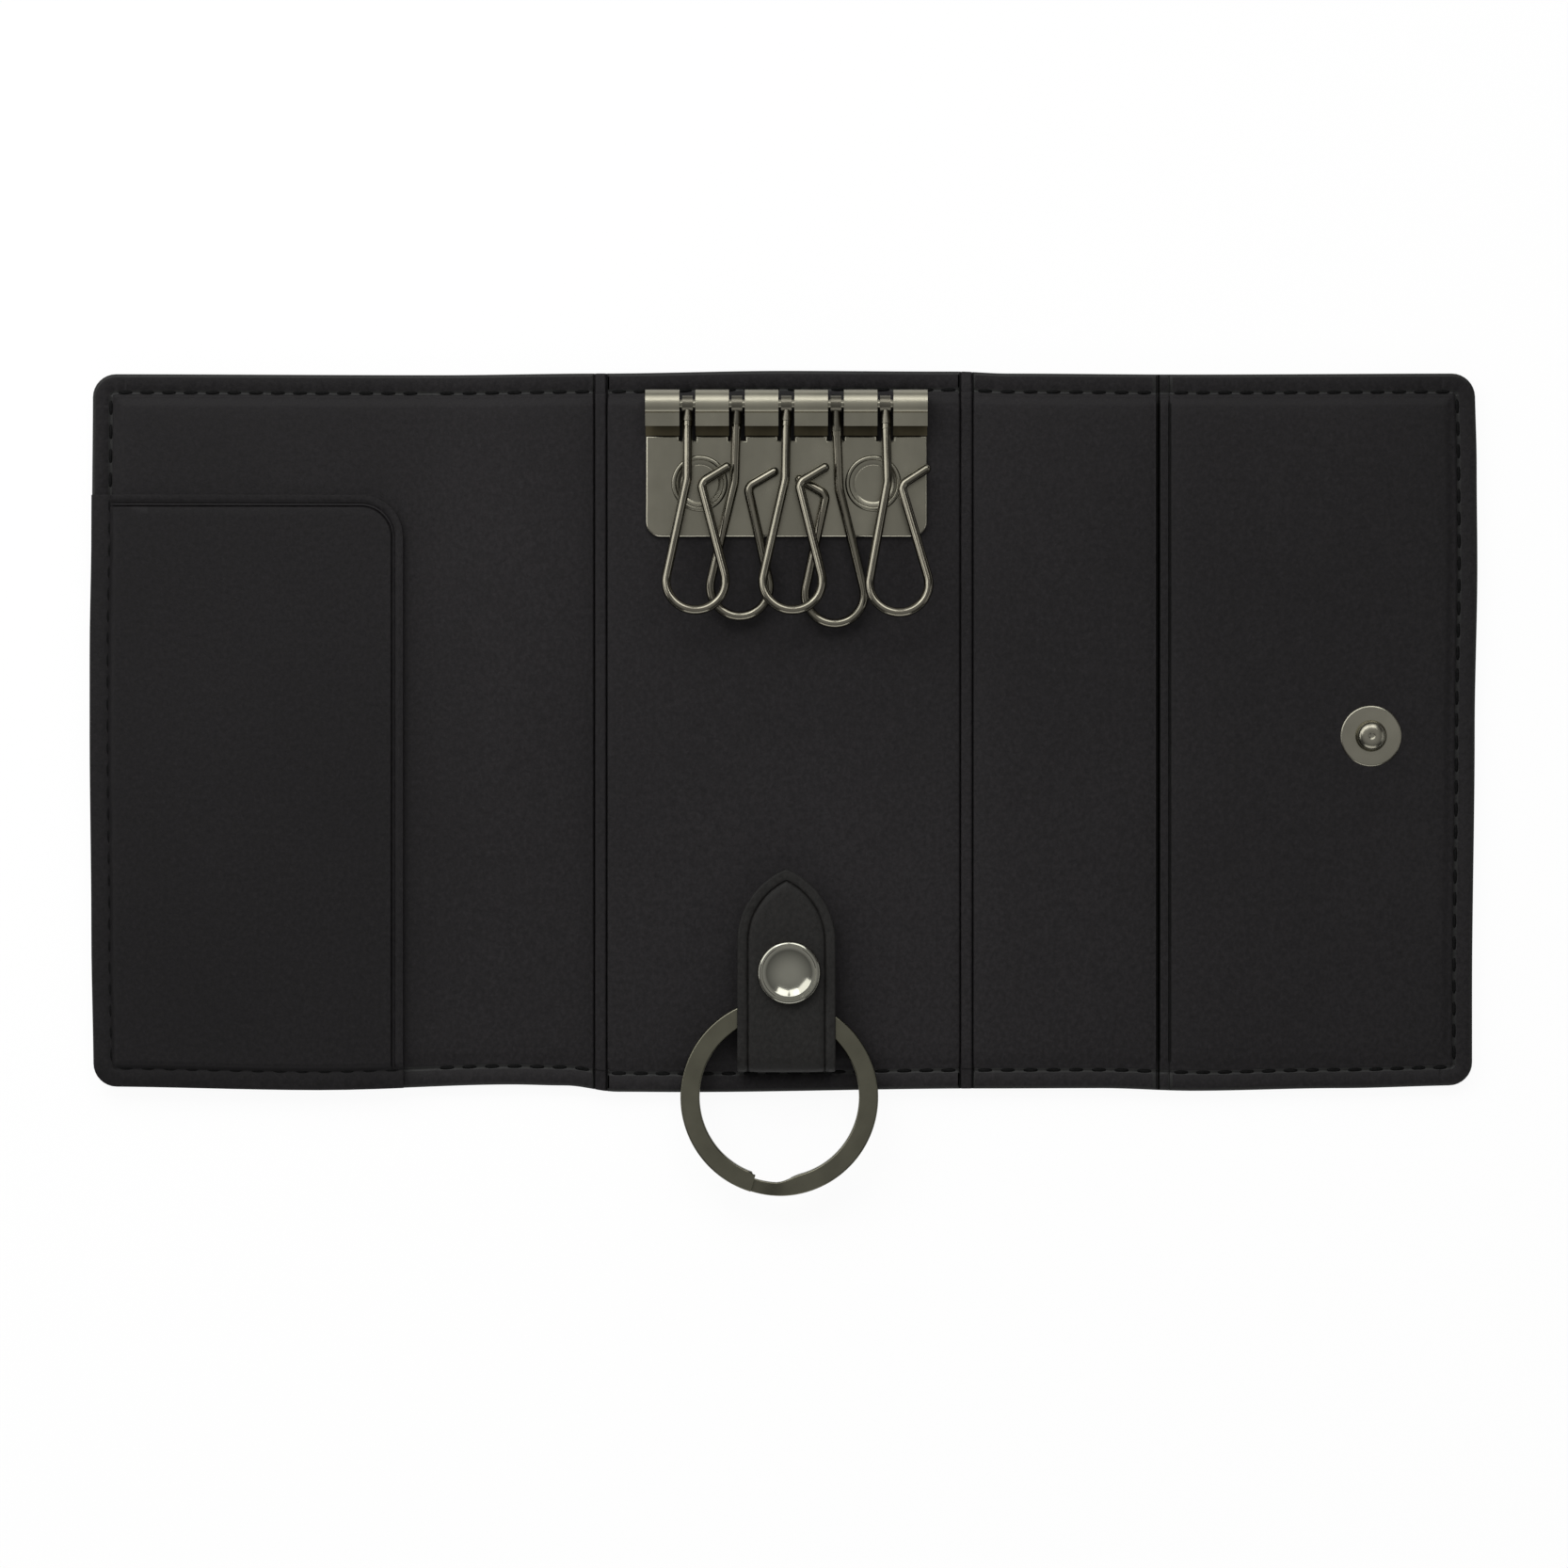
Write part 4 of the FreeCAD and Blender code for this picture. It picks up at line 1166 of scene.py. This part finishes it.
def makePlate():
    low, high = spanOf("key_plate")
    middleX, pinY = (low[0] + high[0]) / 2, high[1] - plate["rollRadius"]
    pinZ = low[2] + plate["rollRadius"]
    topY, topZ = low[1] + plate["length"], low[2] + plate["thickness"]
    first = middleX - (plate["slots"] - 1) / 2 * plate["pitch"]
    slotPlaces = [first + index * plate["pitch"] for index in range(plate["slots"])]
    edges = [low[0]] + [x + side * plate["slot"] / 2 for x in slotPlaces for side in (-1, 1)] + [high[0]]
    flat = addSheet("flatPlate", (middleX, (low[1] + topY) / 2, topZ), high[0] - low[0], plate["length"])
    edit(flat)
    pick("VERT", lambda v: v.co.y < (low[1] + 1) * mm)
    bevelPicked(plate["corner"], plate["cornerSteps"], "VERTICES")
    slicePlane(1, topY - plate["notch"])
    for x in edges[1:-1]:
        slicePlane(0, x)
    pick("FACE", lambda f: midOf(f).y > topY - plate["notch"]
         and any(abs(midOf(f).x - x) < plate["slot"] / 4 for x in slotPlaces))
    bpy.ops.mesh.delete(type="FACE")
    selectAll()
    bpy.ops.mesh.dissolve_limited(angle_limit=0.001)
    leaveEdit()
    applyModifier(flat, "SOLIDIFY", thickness=plate["thickness"] * mm, offset=-1.0)
    edit(flat)
    pickEnds(lambda co: co.z > (topZ - slack) * mm)
    bevelPicked(plate["edgeRound"], 4)
    leaveEdit()
    rolls = [makeKnuckle(x0, x1, pinY, pinZ, low[2], topY) for x0, x1 in zip(edges[0::2], edges[1::2])]
    obj = joined([flat] + rolls, "keyPlate")
    smooth(obj, 35)
    evenShade(obj)
    addMetal(obj, "key_plate")
    seamY = pinY - math.sqrt(plate["rollRadius"] ** 2 - plate["tailTop"] ** 2)  # where roll and tail meet

    # painted shade in the groove under each roll's tail and along the seam where roll and tail meet
    def isPaintedShade(f):
        place = midOf(f)
        return topY < place.y < pinY and (place.z < pinZ + plate["recessRise"] or (
            place.z > pinZ + plate["tailTop"] and seamY < place.y < seamY + plate["seamWidth"]))

    paintFaces(obj, paintedShadeMetal, isPaintedShade)
    # painted highlight on the rolls
    paintFaces(obj, paintedHighlightRoll, lambda f: midOf(f).y > seamY + plate["seamWidth"]
               and midOf(f).z > pinZ + plate["recessRise"] and abs(f.normal.x) < 0.5)
    # painted highlight on the plate's rounded top edges
    paintFaces(obj, paintedEdgeHighlight, lambda f: plate["edgeHighlightTilt"][0] < f.normal.z < plate["edgeHighlightTilt"][1]
               and midOf(f).y < topY - 2 * plate["notch"])


def makeKnuckle(x0, x1, pinY, pinZ, baseZ, topY):  # a roll with a tail above and a foot below
    deselectAll()
    axis = Vector((x0, pinY, pinZ)) * mm
    bpy.ops.mesh.primitive_circle_add(
        vertices=plate["rollSides"], radius=plate["rollRadius"] * mm, fill_type="NGON", location=axis,
        rotation=(0, math.pi / 2, 0))
    obj = settle("knuckle")
    edit(obj)
    tailTop, rim = pinZ + plate["tailTop"], (plate["rollRadius"] - 2 * slack) * mm
    for low, high, reach in ((tailTop - plate["tailThickness"], tailTop, pinY - plate["tailReach"]),
                             (baseZ - plate["footUnder"], baseZ + plate["footTop"], topY)):
        for z in (low, high):
            slicePlane(2, z)
        pickEnds(lambda co: low * mm - near < co.z < high * mm + near and co.y < pinY * mm
                 and (co - axis).length > rim)
        bpy.ops.mesh.extrude_edges_move()
        bpy.ops.transform.resize(value=(1, 0, 1), center_override=(x0 * mm, reach * mm, pinZ * mm))
    bpy.ops.mesh.select_mode(type="FACE")
    selectAll()
    bpy.ops.mesh.dissolve_faces()
    selectAll()
    bpy.ops.mesh.extrude_region_move(TRANSFORM_OT_translate={"value": ((x1 - x0) * mm, 0, 0)})
    faceOut()
    leaveEdit()
    roundEdges(obj, plate["rollEdge"], 2, 40)
    return obj


makePlate()
print("metal finished")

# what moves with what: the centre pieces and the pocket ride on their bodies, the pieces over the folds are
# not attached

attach(centreLining, "centre")
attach(centreOuter, "centre")
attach(slipPocket, "left_flap")


for piece in (leftLining, leftOuter):
    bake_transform(piece)
for piece in (rightLining, rightOuter):
    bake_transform(piece)
for piece in (leftBead, leftStrip):
    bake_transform(piece)
for piece in (rightBead, rightStrip):
    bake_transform(piece)
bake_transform(strapPiece)

# floor, light and camera

studio = dict(
    floorDrop=0.01, floorSize=3000.0, floorColour=(0.96, 0.96, 0.96, 1), floorRough=0.9,
    shadowShare=0.07, sky=0.09, zenith=0.57, skyRise=(0.6, 0.98),
)
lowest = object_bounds()[0][2] / mm
obj = addSheet("floor", (0, 0, lowest - studio["floorDrop"]), studio["floorSize"], studio["floorSize"])
material, tree, shader = newMaterial("paleFloor")
feed(tree, shader, {"Base Color": studio["floorColour"], "Roughness": studio["floorRough"]})
path = addNode(tree, "ShaderNodeLightPath").outputs
seen = combine(tree, "MAXIMUM", path["Is Glossy Ray"], path["Is Transmission Ray"])
seen = combine(tree, "MAXIMUM", path["Is Camera Ray"], seen)
share = combine(tree, "MULTIPLY", seen, 1 - studio["shadowShare"])
white = addNode(tree, "ShaderNodeEmission", Color=(1, 1, 1, 1), Strength=1.0)
mix = addNode(tree, "ShaderNodeMixShader", i0=share)
tree.links.new(shader.outputs["BSDF"], mix.inputs[1])
tree.links.new(white.outputs[0], mix.inputs[2])
output = next(item for item in tree.nodes if item.type == "OUTPUT_MATERIAL")
tree.links.new(mix.outputs[0], output.inputs["Surface"])
obj.data.materials.append(material)

world = bpy.data.worlds.new("studioSky")
bpy.context.scene.world = world
world.use_nodes = True
tree = world.node_tree
tree.nodes.clear()
direction = addNode(tree, "ShaderNodeTexCoord").outputs["Generated"]
up = addNode(tree, "ShaderNodeSeparateXYZ", i0=direction).outputs["Z"]
strength = rangeOf(tree, up, studio["sky"], studio["zenith"], *studio["skyRise"])
sky = addNode(tree, "ShaderNodeBackground", Color=(1, 1, 1, 1), Strength=strength)
output = tree.nodes.new("ShaderNodeOutputWorld")
tree.links.new(sky.outputs[0], output.inputs["Surface"])

lamps = dict(  # place, size and watts
    keyLamp=((-0.32, 0.29, 0.38), (0.4, 0.4), 1.4),
    topLeftLamp=((-0.22, 0.78, 0.93), (0.36, 0.5), 2.15),
    topRightLamp=((0.28, 0.78, 0.93), (0.46, 0.5), 2.8),
    leftLamp=((-0.75, 0.05, 0.3), (0.5, 0.3), 0.9),
    rightLamp=((0.75, -0.05, 0.4), (0.5, 0.3), 0.4),
    rearLamp=((0.0, 0.9, 0.52), (1.2, 0.45), 2.3),
    frontLamp=((0.0, -0.85, 0.36), (0.9, 0.5), 2.2),
)
for name, (place, size, watts) in lamps.items():
    data = bpy.data.lights.new(name, "AREA")
    data.shape, data.energy = "RECTANGLE", watts
    data.size, data.size_y = size
    obj = addObject(name, data)
    obj.location = place
    obj.rotation_euler = (-Vector(place)).to_track_quat("-Z", "Y").to_euler()

view = dict(x=0.07, y=-7.96, height=1000.0, frameWidth=236.8, sensor=36.0, surface=2.3)
data = bpy.data.cameras.new("photoCamera")
data.sensor_width = view["sensor"]
data.lens = view["sensor"] * (view["height"] - view["surface"]) / view["frameWidth"]
data.clip_start, data.clip_end = 0.01, 20
obj = addObject("photoCamera", data)
obj.location = (view["x"] * mm, view["y"] * mm, view["height"] * mm)
bpy.context.scene.camera = obj
bpy.context.scene.view_settings.view_transform = "Standard"
print("floor, light and camera set")
